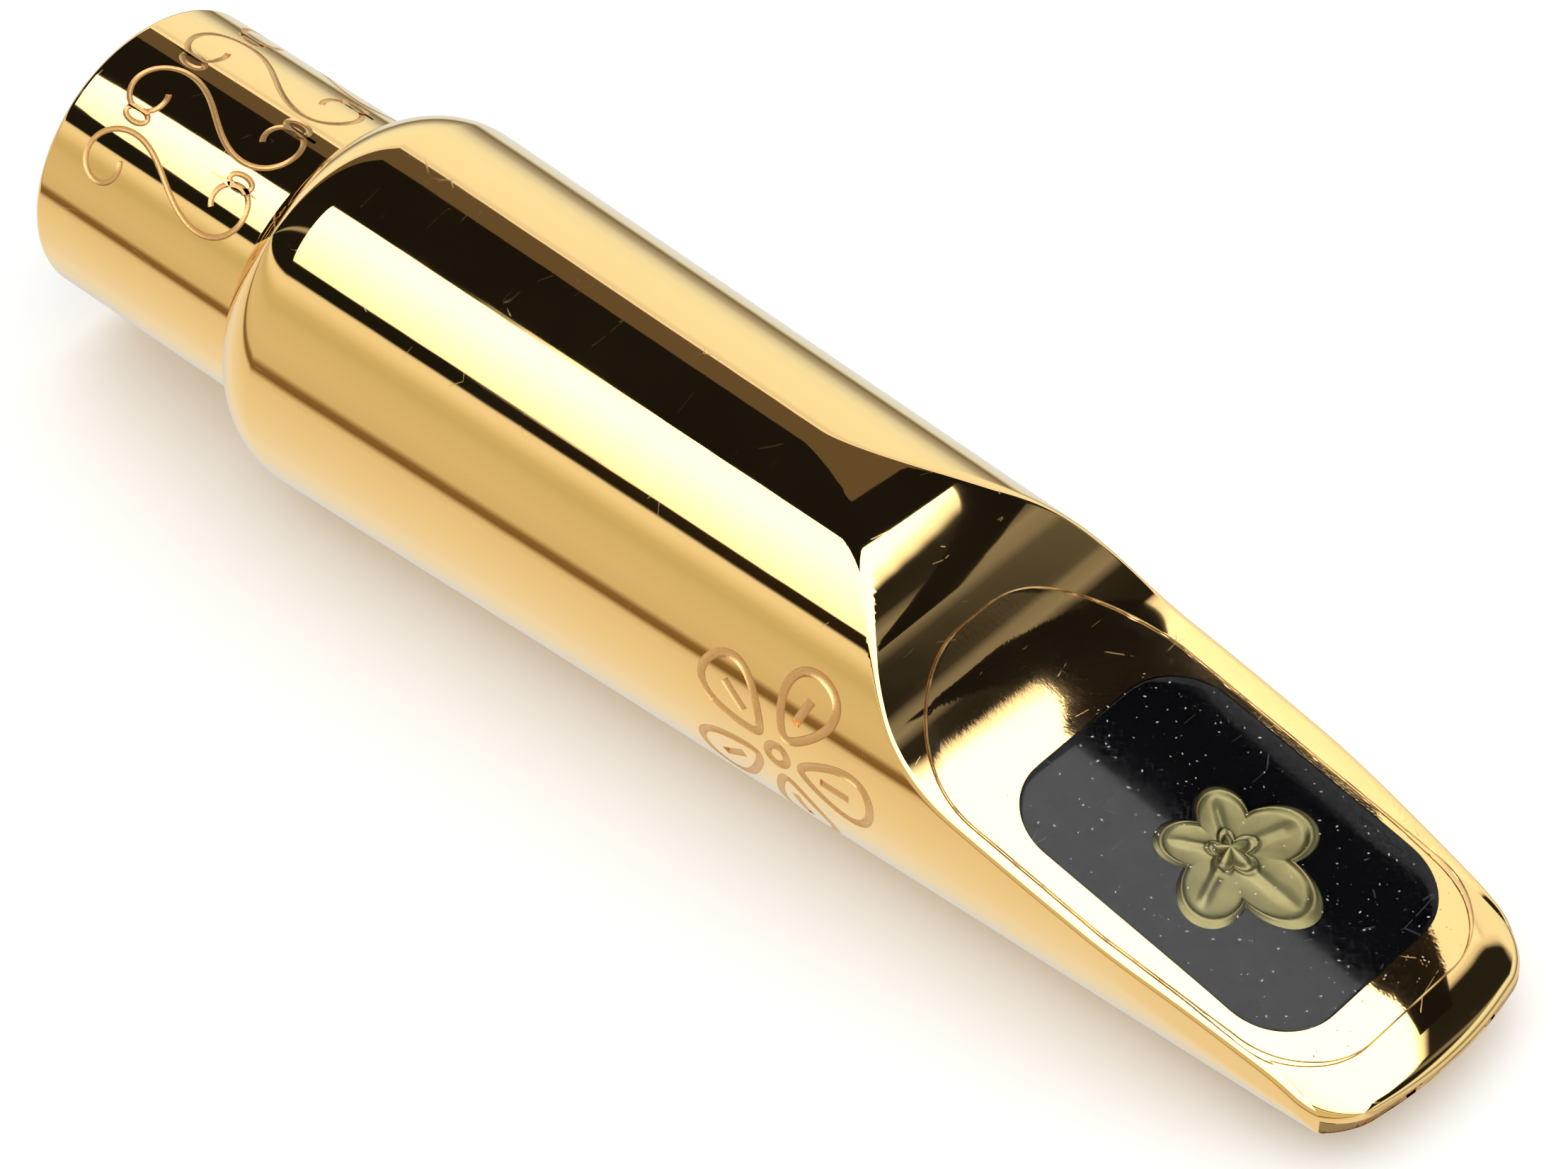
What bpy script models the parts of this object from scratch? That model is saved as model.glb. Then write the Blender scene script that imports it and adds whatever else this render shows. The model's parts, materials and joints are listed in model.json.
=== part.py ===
"""Gold-plated brass mouthpiece for a tenor saxophone, lying on its reed table with the bite plate upwards.

World frame, in metres: +X runs from the shank to the tip, +Z is up, z = 0 is the reed table, and the origin is
under the middle of the bounding box. Most shapes are drawn in the bore frame, whose X runs along the bore from
the shank's end and whose Z is the height above the bore's centre line.
"""

import math

import bmesh
import bpy

# Turned outside
LENGTH = 0.0940            # shank end to tip, along the bore
SHANK_LENGTH = 0.0154
SHANK_WALL = 0.0009        # metal round the bore at the shank
BODY_RADIUS = 0.0114       # at the top of the shoulder
BODY_TAPER = math.radians(1.72)
SHOULDER_RADIUS = 0.0049   # rounded rear end of the body
RIM_ROUND = 0.0004         # rounded edge of the shank's end

# Bored inside
BORE_RADIUS = 0.00795      # takes the cork on the neck
BORE_DEPTH = 0.030
CHAMBER_STEP = 0.00035     # the chamber is this much smaller in radius than the bore

# Reed table, facing and window
TABLE_ANGLE = math.radians(2.0)   # between the table and the bore
TABLE_WALL = 0.00135              # metal between the bore and the table at the shoulder
FACING_LENGTH = 0.024             # from the tip back to where the rails leave the table
TIP_OPENING = 0.0026              # height of the tip above the table
WINDOW_LENGTH = 0.045
RAIL_WIDTH = 0.0010
TIP_RAIL = 0.0010
ROOF_WALL = 0.0008                # metal between the plate's pocket and the window

# Beak
TIP_THICKNESS = 0.0007
TIP_SLOPE = math.radians(31.0)    # slope where the beak runs out into the tip
TIP_CROWN_RADIUS = 0.014
BEAK_ANGLE = math.radians(10.9)
SCOOP_RADIUS = 0.011              # hollow behind the bite plate
SCOOP_ANGLE = math.radians(44.0)
BROW_RADIUS = 0.0130              # rounded brow where the barrel turns down into the scoop
TIP_HALF_WIDTH = 0.0083
SIDE_ANGLE = math.radians(5.5)    # each side of the beak draws in towards the tip
SIDE_LENGTH = 0.015
TIP_SWEEP = math.radians(11.0)    # each half of the tip edge sweeps back by this
TIP_BOW_RADIUS = 0.024
TIP_CORNER_RADIUS = 0.0026

# Bite plate, badge and clear film
PLATE_LENGTH = 0.0200
PLATE_WIDTH = 0.0148
PLATE_CORNER_RADIUS = 0.0038
PLATE_THICKNESS = 0.0010
PLATE_TO_SCOOP = 0.0006           # flat metal left between the scoop and the plate
PLATE_TO_CROWN = 0.0006           # and between the plate and the tip's crown
BADGE_RADIUS = 0.0048
BADGE_PETALS = 5
BADGE_THICKNESS = 0.0003
FILM_THICKNESS = 0.00015
FILM_PAST_FRONT = 0.00195         # film beyond the plate's front edge
FILM_PAST_REAR = 0.0052
FILM_PAST_SIDE = 0.0011
FILM_FRONT_RADIUS = 0.0045
FILM_REAR_RADIUS = 0.0070
GAP = 0.0003                      # between pieces that touch

SEGMENTS = 96                     # round the turned shapes
ARC_STEPS = 10

# Worked out from the sizes above
SHANK_RADIUS = BORE_RADIUS + SHANK_WALL
FILM_LENGTH = FILM_PAST_REAR + PLATE_LENGTH * math.cos(BEAK_ANGLE) + FILM_PAST_FRONT  # along the bore
FILM_WIDTH = PLATE_WIDTH + 2 * FILM_PAST_SIDE
BEAK_FLAT = PLATE_TO_SCOOP + PLATE_LENGTH + PLATE_TO_CROWN  # straight length that carries the bite plate
ROOF_DEPTH = PLATE_THICKNESS + GAP + ROOF_WALL              # metal over the window, under the beak
SHOULDER_LIFT = math.acos(1 - (BODY_RADIUS - SHANK_RADIUS) / SHOULDER_RADIUS)
SHOULDER_END = SHANK_LENGTH + SHOULDER_RADIUS * math.sin(SHOULDER_LIFT)
TABLE_DEPTH = BORE_RADIUS + TABLE_WALL                      # table below the axis, at SHOULDER_END
FACING_RADIUS = FACING_LENGTH**2 / (2 * TIP_OPENING)
CHAMBER_RADIUS = BORE_RADIUS - CHAMBER_STEP
AXIS_HEIGHT = TABLE_DEPTH + SHOULDER_END * math.sin(TABLE_ANGLE)
TIP_APEX = LENGTH + TIP_BOW_RADIUS * (1 / math.cos(TIP_SWEEP) - 1)  # where the two halves of the tip edge meet
TIP_CORNER = TIP_APEX - TIP_HALF_WIDTH * math.tan(TIP_SWEEP)
FAR_OUT = 3 * BODY_RADIUS                                   # reach of a cutter past the body


def body_radius(x):
    """Radius of the tapered body at x."""
    return BODY_RADIUS - (x - SHOULDER_END) * math.tan(BODY_TAPER)


def facing_height(x):
    """Height of the rails at x, in the bore frame: the table, then the facing curve."""
    table = -TABLE_DEPTH + (x - SHOULDER_END) * math.tan(TABLE_ANGLE)
    past = max(0.0, x - (LENGTH - FACING_LENGTH))
    return table + FACING_RADIUS - math.sqrt(FACING_RADIUS**2 - past**2)


def rail_half_width(x):
    """Half of the body's width where the rails cut it at x."""
    return math.sqrt(body_radius(x) ** 2 - facing_height(x) ** 2)


def arc(x, z, radius, start, end, steps=ARC_STEPS):
    """Points round the centre x, z, without the first one."""
    turns = [start + (end - start) * step / steps for step in range(1, steps + 1)]
    return [(x + radius * math.cos(turn), z + radius * math.sin(turn)) for turn in turns]


def beak_profile(lift=0.0):
    """Top of the beak from the tip back to the barrel, raised by lift along its normal."""
    x, z = LENGTH, facing_height(LENGTH) + TIP_THICKNESS
    up = math.pi / 2
    centre = (x - TIP_CROWN_RADIUS * math.sin(TIP_SLOPE), z - TIP_CROWN_RADIUS * math.cos(TIP_SLOPE))
    radius = TIP_CROWN_RADIUS + lift
    points = [(centre[0] + radius * math.sin(TIP_SLOPE), centre[1] + radius * math.cos(TIP_SLOPE))]
    points += arc(*centre, radius, up - TIP_SLOPE, up - BEAK_ANGLE)

    crown_end = (centre[0] + TIP_CROWN_RADIUS * math.sin(BEAK_ANGLE),
                 centre[1] + TIP_CROWN_RADIUS * math.cos(BEAK_ANGLE))
    flat_end = (crown_end[0] - BEAK_FLAT * math.cos(BEAK_ANGLE),
                crown_end[1] + BEAK_FLAT * math.sin(BEAK_ANGLE))
    centre = (flat_end[0] + SCOOP_RADIUS * math.sin(BEAK_ANGLE),
              flat_end[1] + SCOOP_RADIUS * math.cos(BEAK_ANGLE))
    radius = SCOOP_RADIUS - lift
    points.append((centre[0] - radius * math.sin(BEAK_ANGLE), centre[1] - radius * math.cos(BEAK_ANGLE)))
    points += arc(*centre, radius, -up - BEAK_ANGLE, -up - SCOOP_ANGLE)

    foot = (centre[0] - SCOOP_RADIUS * math.sin(SCOOP_ANGLE), centre[1] - SCOOP_RADIUS * math.cos(SCOOP_ANGLE))
    brow_run = BROW_RADIUS * (math.sin(SCOOP_ANGLE) - math.sin(BODY_TAPER))
    brow_rise = BROW_RADIUS * (math.cos(BODY_TAPER) - math.cos(SCOOP_ANGLE))
    short_of_barrel = body_radius(foot[0] - brow_run) - foot[1] - brow_rise
    straight = short_of_barrel / (math.sin(SCOOP_ANGLE) - math.cos(SCOOP_ANGLE) * math.tan(BODY_TAPER))
    centre = (foot[0] - straight * math.cos(SCOOP_ANGLE) - BROW_RADIUS * math.sin(SCOOP_ANGLE),
              foot[1] + straight * math.sin(SCOOP_ANGLE) - BROW_RADIUS * math.cos(SCOOP_ANGLE))
    radius = BROW_RADIUS + lift
    points.append((centre[0] + radius * math.sin(SCOOP_ANGLE), centre[1] + radius * math.cos(SCOOP_ANGLE)))
    return points + arc(*centre, radius, up - SCOOP_ANGLE, up - BODY_TAPER)


def flat_ends():
    """The two ends of the straight part of the beak, front one first."""
    points = beak_profile()
    return points[ARC_STEPS], points[ARC_STEPS + 1]


def fillet(corners):
    """Outline through (x, y, radius) corners, each rounded by its radius."""
    points = []
    for index, (x, y, radius) in enumerate(corners):
        before, after = corners[index - 1], corners[(index + 1) % len(corners)]
        to_before = math.atan2(before[1] - y, before[0] - x)
        to_after = math.atan2(after[1] - y, after[0] - x)
        if not radius:
            points.append((x, y))
            continue
        opening = (to_after - to_before + math.pi) % (2 * math.pi) - math.pi
        middle = to_before + opening / 2
        away = radius / math.sin(abs(opening) / 2)
        centre = (x + away * math.cos(middle), y + away * math.sin(middle))
        sweep = math.copysign(math.pi - abs(opening), -opening)
        start = middle + math.pi - sweep / 2
        points.append((centre[0] + radius * math.cos(start), centre[1] + radius * math.sin(start)))
        points += arc(*centre, radius, start, start + sweep)
    return points


def rounded_rectangle(length, width, front, rear):
    half = width / 2
    return fillet([(length / 2, -half, front), (length / 2, half, front),
                   (-length / 2, half, rear), (-length / 2, -half, rear)])


def petal_outline(grow=0.0, steps=20):
    """Rosette outline: petals round a centre, the one towards the tip the longest."""
    points = []
    for step in range(BADGE_PETALS * steps):
        turn = 2 * math.pi * step / (BADGE_PETALS * steps)
        petal = 0.62 + 0.38 * abs(math.cos(BADGE_PETALS * turn / 2))
        reach = BADGE_RADIUS * petal * (1 + 0.22 * math.cos(turn)) + grow
        points.append((reach * math.cos(turn), reach * math.sin(turn)))
    return points


def material(name, colour, metallic, roughness, alpha=1.0):
    made = bpy.data.materials.new(name)
    made.use_nodes = True
    shader = made.node_tree.nodes["Principled BSDF"]
    shader.inputs["Base Color"].default_value = (*colour, 1.0)
    shader.inputs["Metallic"].default_value = metallic
    shader.inputs["Roughness"].default_value = roughness
    shader.inputs["Alpha"].default_value = alpha
    return made


def place(obj, collection, parent, turn=(0, 0, 0), at=(0, 0, 0)):
    collection.objects.link(obj)
    obj.parent = parent
    obj.location = at
    obj.rotation_euler = turn
    if collection is CUTTERS:
        obj.hide_render = True
        obj.display_type = "WIRE"
    return obj


def turned(name, profile, collection):
    """A shape turned round the bore from (x, radius) points, given from the tip end back to the shank."""
    mesh = bpy.data.meshes.new(name)
    points = [(0, profile[0][0])] + [(radius, x) for x, radius in profile] + [(0, profile[-1][0])]
    mesh.from_pydata([(radius, 0, x) for radius, x in points],
                     [(index, index + 1) for index in range(len(points) - 1)], [])
    obj = place(bpy.data.objects.new(name, mesh), collection, BORE_AXIS, turn=(0, math.pi / 2, 0))
    screw = obj.modifiers.new("Turning", "SCREW")
    screw.steps = SEGMENTS
    screw.render_steps = SEGMENTS
    screw.use_merge_vertices = True
    screw.merge_threshold = 0.00001
    screw.use_smooth_shade = True
    return obj


def extruded(name, outline, thickness, collection, parent, turn=(0, 0, 0), at=(0, 0, 0)):
    """A flat outline given a thickness about its plane, as a mesh that Booleans can use."""
    curve = bpy.data.curves.new(name, "CURVE")
    curve.dimensions = "2D"
    curve.fill_mode = "BOTH"
    curve.extrude = thickness / 2
    spline = curve.splines.new("POLY")
    spline.points.add(len(outline) - 1)
    for point, (x, y) in zip(spline.points, outline):
        point.co = (x, y, 0, 1)
    spline.use_cyclic_u = True
    drawn = bpy.data.objects.new(name + "_outline", curve)
    bpy.context.scene.collection.objects.link(drawn)
    graph = bpy.context.evaluated_depsgraph_get()
    mesh = bpy.data.meshes.new_from_object(drawn.evaluated_get(graph))
    bpy.data.objects.remove(drawn)
    welded = bmesh.new()
    welded.from_mesh(mesh)
    bmesh.ops.remove_doubles(welded, verts=welded.verts, dist=0.000001)
    bmesh.ops.recalc_face_normals(welded, faces=welded.faces)
    welded.to_mesh(mesh)
    welded.free()
    mesh.name = name
    return place(bpy.data.objects.new(name, mesh), collection, parent, turn, at)


def side_cut(name, outline, width, collection=None):
    """An outline in the bore frame's X and Z, extruded across the body."""
    return extruded(name, outline, width, collection or CUTTERS, BORE_AXIS, turn=(math.pi / 2, 0, 0))


def cut(obj, cutter, operation="DIFFERENCE"):
    boolean = obj.modifiers.new(cutter.name, "BOOLEAN")
    boolean.operation = operation
    boolean.solver = "MANIFOLD"
    boolean.object = cutter


def empty(name, parent=None, turn=(0, 0, 0), at=(0, 0, 0)):
    made = bpy.data.objects.new(name, None)
    made.empty_display_size = BODY_RADIUS
    return place(made, PARTS, parent, turn, at)


def make_body():
    shoulder = arc(SHOULDER_END, BODY_RADIUS - SHOULDER_RADIUS, SHOULDER_RADIUS,
                   math.pi / 2 - BODY_TAPER, math.pi / 2 + SHOULDER_LIFT, 2 * ARC_STEPS)
    rim = arc(RIM_ROUND, SHANK_RADIUS - RIM_ROUND, RIM_ROUND, math.pi / 2, math.pi, 4)
    profile = [(TIP_APEX, body_radius(TIP_APEX)), *shoulder, (RIM_ROUND, SHANK_RADIUS), *rim]
    body = turned("mouthpiece_body", profile, PARTS)
    body.data.materials.append(material("gold_plated_brass", (0.83, 0.60, 0.27), 1.0, 0.08))

    over = beak_profile()
    above = [(over[-1][0], FAR_OUT), (LENGTH + FAR_OUT, FAR_OUT), (LENGTH + FAR_OUT, over[0][1])]
    cut(body, side_cut("beak_cutter", over + above, FAR_OUT))
    cut(body, extruded("plan_limit", plan_outline(), 2 * FAR_OUT, CUTTERS, BORE_AXIS), "INTERSECT")
    cut(body, side_cut("table_cutter", under_outline(), FAR_OUT))
    cut(body, bore_cutter())
    cut(body, window_cutter())
    pocket = rounded_rectangle(PLATE_LENGTH + 2 * GAP, PLATE_WIDTH + 2 * GAP,
                               PLATE_CORNER_RADIUS + GAP, PLATE_CORNER_RADIUS + GAP)
    cut(body, extruded("plate_pocket", pocket, 2 * (PLATE_THICKNESS + GAP), CUTTERS, PLATE_PLANE))
    return body


def plan_outline():
    """The beak seen from above: sides drawn in, rounded corners and a bowed tip."""
    side_start = TIP_CORNER - SIDE_LENGTH
    side_width = TIP_HALF_WIDTH + SIDE_LENGTH * math.tan(SIDE_ANGLE)
    half = [(-FAR_OUT, -FAR_OUT, 0), (side_start, -FAR_OUT, 0), (side_start, -side_width, 0),
            (TIP_CORNER, -TIP_HALF_WIDTH, TIP_CORNER_RADIUS)]
    other_half = [(x, -y, radius) for x, y, radius in reversed(half)]
    return fillet([*half, (TIP_APEX, 0, TIP_BOW_RADIUS), *other_half])


def under_outline():
    """Everything below the table and the facing curve."""
    facing = LENGTH - FACING_LENGTH
    runs = [facing + (TIP_APEX - facing) * step / ARC_STEPS for step in range(ARC_STEPS + 1)]
    surface = [(x, facing_height(x)) for x in (-SHANK_LENGTH, *runs)]
    return surface + [(runs[-1], -FAR_OUT), (-SHANK_LENGTH, -FAR_OUT)]


def bore_cutter():
    chamber_end = LENGTH - WINDOW_LENGTH + CHAMBER_RADIUS / 2
    taper_end = chamber_end + CHAMBER_RADIUS / 2
    profile = [(taper_end, CHAMBER_RADIUS / 2), (chamber_end - CHAMBER_RADIUS / 2, CHAMBER_RADIUS),
               (BORE_DEPTH, CHAMBER_RADIUS), (BORE_DEPTH, BORE_RADIUS), (-SHANK_LENGTH, BORE_RADIUS)]
    return turned("bore_cutter", profile, CUTTERS)


def window_cutter():
    """The space above the window: its roof follows the beak, its sides follow the rails."""
    rear = LENGTH - WINDOW_LENGTH
    front = TIP_CORNER - TIP_RAIL
    front_middle = LENGTH - TIP_RAIL
    flat_front, flat_rear = flat_ends()
    roof_drop = ROOF_DEPTH / math.cos(BEAK_ANGLE)
    throat = CHAMBER_RADIUS * 0.62
    roof = [(rear, throat), (rear + CHAMBER_RADIUS, throat), (flat_rear[0], flat_rear[1] - roof_drop),
            (flat_front[0], flat_front[1] - roof_drop), (front_middle, facing_height(front_middle))]
    cavity = side_cut("window_cutter", [*roof, (front_middle, -FAR_OUT), (rear, -FAR_OUT)], FAR_OUT)

    sides = [rear + (front - rear) * step / (2 * ARC_STEPS) for step in range(2 * ARC_STEPS + 1)]
    half = [(x, -(rail_half_width(x) - RAIL_WIDTH)) for x in sides]
    rear_round = rail_half_width(rear) - RAIL_WIDTH
    bend = arc(rear + rear_round, 0, rear_round, 3 * math.pi / 2, math.pi, ARC_STEPS)[::-1]
    straight = [point for point in half if point[0] > rear + rear_round]
    lower = [*bend[1:], *straight]
    outline = [bend[0], *lower, (front_middle, 0), *[(x, -y) for x, y in reversed(lower)]]
    cut(cavity, extruded("window_outline", outline, 3 * FAR_OUT, CUTTERS, BORE_AXIS), "INTERSECT")
    return cavity


def make_plate():
    outline = rounded_rectangle(PLATE_LENGTH, PLATE_WIDTH, PLATE_CORNER_RADIUS, PLATE_CORNER_RADIUS)
    plate = extruded("bite_plate", outline, PLATE_THICKNESS, PARTS, PLATE_PLANE, at=(0, 0, -PLATE_THICKNESS / 2))
    plate.data.materials.append(material("black_resin", (0.01, 0.01, 0.012), 0.0, 0.1))
    cut(plate, extruded("badge_recess", petal_outline(GAP), 2 * (BADGE_THICKNESS + GAP), CUTTERS, PLATE_PLANE))

    badge = extruded("badge", petal_outline(), BADGE_THICKNESS, PARTS, PLATE_PLANE,
                     at=(0, 0, -BADGE_THICKNESS / 2))
    badge.data.materials.append(material("pale_brass", (0.55, 0.48, 0.30), 1.0, 0.35))


def make_film():
    """A clear film laid over the plate, the beak and part of the scoop."""
    band = beak_profile(GAP) + beak_profile(GAP + FILM_THICKNESS)[::-1]
    film = side_cut("protective_film", band, FAR_OUT, PARTS)
    film.data.materials.append(material("clear_film", (0.95, 0.95, 0.95), 0.0, 0.05, 0.2))
    outline = rounded_rectangle(FILM_LENGTH, FILM_WIDTH, FILM_FRONT_RADIUS, FILM_REAR_RADIUS)
    middle = plate_centre[0] + (FILM_PAST_FRONT - FILM_PAST_REAR) / 2
    cut(film, extruded("film_outline", outline, 2 * FAR_OUT, CUTTERS, BORE_AXIS, at=(middle, 0, 0)), "INTERSECT")


for existing in list(bpy.data.objects):
    bpy.data.objects.remove(existing)
PARTS = bpy.data.collections.new("saxophone_mouthpiece")
CUTTERS = bpy.data.collections.new("cutters")
for collection in (PARTS, CUTTERS):
    bpy.context.scene.collection.children.link(collection)

rearmost = -SHANK_RADIUS * math.sin(TABLE_ANGLE)
foremost = LENGTH * math.cos(TABLE_ANGLE) + facing_height(LENGTH) * math.sin(TABLE_ANGLE)
BORE_AXIS = empty("bore_axis", None, (0, TABLE_ANGLE, 0), (-(rearmost + foremost) / 2, 0, AXIS_HEIGHT))
flat_front, flat_rear = flat_ends()
from_rear = PLATE_TO_SCOOP + PLATE_LENGTH / 2
plate_centre = (flat_rear[0] + from_rear * math.cos(BEAK_ANGLE), 0,
                flat_rear[1] - from_rear * math.sin(BEAK_ANGLE))
PLATE_PLANE = empty("plate_plane", BORE_AXIS, (0, BEAK_ANGLE, 0), plate_centre)

make_body()
make_plate()
make_film()
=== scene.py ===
# %% [markdown]
# # A gold-plated brass mouthpiece for a tenor saxophone
#
# The real piece is turned from brass bar, milled flat for the reed, filed to its beak shape, polished and
# gold plated. The CAD model is loaded as a fixed frame, and every visible piece is built around it here.

# %% Load the CAD frame
import json
import math

import bmesh
import bpy
import numpy as np
from mathutils import Matrix, Vector

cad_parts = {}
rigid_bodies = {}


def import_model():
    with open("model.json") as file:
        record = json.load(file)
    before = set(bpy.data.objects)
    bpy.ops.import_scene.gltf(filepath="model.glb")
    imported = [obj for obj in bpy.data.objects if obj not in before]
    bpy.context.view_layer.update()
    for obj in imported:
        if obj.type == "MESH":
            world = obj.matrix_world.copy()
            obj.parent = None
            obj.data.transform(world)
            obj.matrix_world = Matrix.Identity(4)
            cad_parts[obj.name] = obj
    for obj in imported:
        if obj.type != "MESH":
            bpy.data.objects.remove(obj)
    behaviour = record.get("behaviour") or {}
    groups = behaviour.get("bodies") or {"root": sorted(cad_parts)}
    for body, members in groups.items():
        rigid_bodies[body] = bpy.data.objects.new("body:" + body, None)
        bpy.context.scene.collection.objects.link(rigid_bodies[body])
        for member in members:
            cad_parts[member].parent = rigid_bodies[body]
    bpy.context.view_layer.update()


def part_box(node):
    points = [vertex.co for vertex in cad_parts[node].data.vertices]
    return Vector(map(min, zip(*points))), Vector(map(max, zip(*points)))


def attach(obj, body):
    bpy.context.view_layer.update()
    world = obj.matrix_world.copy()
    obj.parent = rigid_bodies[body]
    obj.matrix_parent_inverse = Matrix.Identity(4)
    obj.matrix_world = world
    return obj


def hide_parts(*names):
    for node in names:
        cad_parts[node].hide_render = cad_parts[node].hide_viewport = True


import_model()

scene = bpy.context.scene

# %% [markdown]
# ## Sizes
#
# A mouthpiece is drawn along its bore, so most sizes here are given in the bore's own frame: X runs from the
# shank's end to the tip, and Z is the height above the bore's centre line. The reed table leans two degrees
# to the bore. They are the same sizes that the CAD model was made with.

# %% Sizes of the mouthpiece, in metres
LENGTH = 0.0940
SHANK_LENGTH = 0.0154
SHANK_RADIUS = 0.00885
BODY_RADIUS = 0.0114
BODY_TAPER = math.radians(1.72)
SHOULDER_RADIUS = 0.0049
RIM_ROUND = 0.0004
BORE_RADIUS = 0.00795
BORE_DEPTH = 0.030
CHAMBER_RADIUS = 0.0076
TABLE_ANGLE = math.radians(2.0)
TABLE_DEPTH = 0.0093
FACING_LENGTH = 0.024
TIP_OPENING = 0.0026
WINDOW_LENGTH = 0.045
RAIL_WIDTH = 0.0010
TIP_RAIL = 0.0010
ROOF_DEPTH = 0.0021
TIP_THICKNESS = 0.0007
TIP_SLOPE = math.radians(31.0)
TIP_CROWN_RADIUS = 0.014
BEAK_ANGLE = math.radians(10.9)
BEAK_FLAT = 0.0212
SCOOP_RADIUS = 0.011
SCOOP_ANGLE = math.radians(44.0)
BROW_RADIUS = 0.0130
BROW_EASE = 0.0035
TIP_HALF_WIDTH = 0.0083
SIDE_ANGLE = math.radians(5.5)
SIDE_LENGTH = 0.015
TIP_SWEEP = math.radians(11.0)
TIP_BOW_RADIUS = 0.024
TIP_CORNER_RADIUS = 0.0026

SHOULDER_LIFT = math.acos(1 - (BODY_RADIUS - SHANK_RADIUS) / SHOULDER_RADIUS)
SHOULDER_END = SHANK_LENGTH + SHOULDER_RADIUS * math.sin(SHOULDER_LIFT)
FACING_RADIUS = FACING_LENGTH**2 / (2 * TIP_OPENING)
TIP_APEX = LENGTH + TIP_BOW_RADIUS * (1 / math.cos(TIP_SWEEP) - 1)
TIP_CORNER = TIP_APEX - TIP_HALF_WIDTH * math.tan(TIP_SWEEP)

body_low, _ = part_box("mouthpiece_body")
axis_height = TABLE_DEPTH + SHOULDER_END * math.sin(TABLE_ANGLE)
shank_end = body_low[0] + (SHANK_RADIUS - RIM_ROUND) * math.sin(TABLE_ANGLE)
BORE = Matrix.Translation((shank_end, 0, axis_height)) @ Matrix.Rotation(TABLE_ANGLE, 4, "Y")
print("bore starts at", [round(1000 * v, 2) for v in BORE.translation], "mm")

# %% [markdown]
# ## Camera
#
# The camera looks down on the tip end from the player's right. A long lens from a third of a metre keeps the
# barrel's sides nearly parallel, as in a product picture. Its place is given in the bore's frame as an
# azimuth, an elevation and a small roll about a point on the bore.

# %% Camera
CAMERA_AZIMUTH = math.radians(40.930)
CAMERA_ELEVATION = math.radians(45.835)
CAMERA_ROLL = math.radians(1.438)
CAMERA_DISTANCE = 0.31560
CAMERA_TARGET = Vector((0.048182, 0.000571, -0.002360))
CAMERA_LENS = 135.37

back = Vector((math.sin(CAMERA_AZIMUTH) * math.cos(CAMERA_ELEVATION),
               -math.cos(CAMERA_AZIMUTH) * math.cos(CAMERA_ELEVATION),
               math.sin(CAMERA_ELEVATION)))
level = Vector((math.cos(CAMERA_AZIMUTH), math.sin(CAMERA_AZIMUTH), 0))
across = Matrix.Rotation(CAMERA_ROLL, 3, back) @ level
pose = Matrix((across, back.cross(across), back)).transposed().to_4x4()
pose.translation = CAMERA_TARGET + CAMERA_DISTANCE * back

camera_data = bpy.data.cameras.new("camera")
camera_data.lens = CAMERA_LENS
camera_data.sensor_width = 36.0
camera_data.clip_start = 0.01
camera = bpy.data.objects.new("camera", camera_data)
scene.collection.objects.link(camera)
camera.matrix_world = BORE @ pose
scene.camera = camera
print("camera at", [round(v, 4) for v in camera.matrix_world.translation])

# %% [markdown]
# ## One helper for nodes
#
# Every material here is a small node network. One function adds a node and fills its inputs, each with a
# value or with another node's socket, and a few short ones built on it name the steps that come back: a soft
# random pattern, a sum, a change of range, a mix of two colours. So each material reads as a recipe. Colours
# are written as hex values, and one function turns them to the linear values that light is added up in.

# %% Colour and node helpers


def linear(colour):
    """Linear RGBA from an sRGB hex colour."""
    values = [int(colour[i:i + 2], 16) / 255 for i in (1, 3, 5)]
    return (*[v / 12.92 if v <= 0.04045 else ((v + 0.055) / 1.055) ** 2.4 for v in values], 1.0)


def add_node(tree, kind, inputs=None, **properties):
    """Adds a node. Each input, by name or number, takes a value or another node's socket."""
    made = tree.nodes.new(kind)
    for name, value in properties.items():
        setattr(made, name, value)
    for name, value in (inputs or {}).items():
        if isinstance(value, bpy.types.NodeSocket):
            tree.links.new(value, made.inputs[name])
        else:
            made.inputs[name].default_value = value
    return made


def new_material(name):
    """An empty node material, its tree, and the place on the object in metres."""
    made = bpy.data.materials.new(name)
    made.use_nodes = True
    made.node_tree.nodes.clear()
    return made, made.node_tree, add_node(made.node_tree, "ShaderNodeTexCoord").outputs["Object"]


def surface(tree, inputs):
    """The surface shader, joined to the material's output."""
    shader = add_node(tree, "ShaderNodeBsdfPrincipled", inputs)
    add_node(tree, "ShaderNodeOutputMaterial", {"Surface": shader.outputs["BSDF"]})


def maths(tree, operation, *values):
    return add_node(tree, "ShaderNodeMath", dict(enumerate(values)), operation=operation).outputs[0]


def noise(tree, place, scale, detail=2.0):
    """A soft random pattern from 0 to 1. The scale is in patches to the metre."""
    inputs = {"Vector": place, "Scale": scale, "Detail": detail}
    return add_node(tree, "ShaderNodeTexNoise", inputs).outputs["Fac"]


def ranged(tree, value, start, end, low=0.0, high=1.0, **properties):
    """Takes values between start and end to values between low and high."""
    inputs = {"Value": value, "From Min": start, "From Max": end, "To Min": low, "To Max": high}
    return add_node(tree, "ShaderNodeMapRange", inputs, **properties).outputs["Result"]


def mixed(tree, factor, first, second):
    """A colour between two, by the factor."""
    inputs = {"Factor": factor, 6: first, 7: second}
    return add_node(tree, "ShaderNodeMix", inputs, data_type="RGBA").outputs[2]


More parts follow.
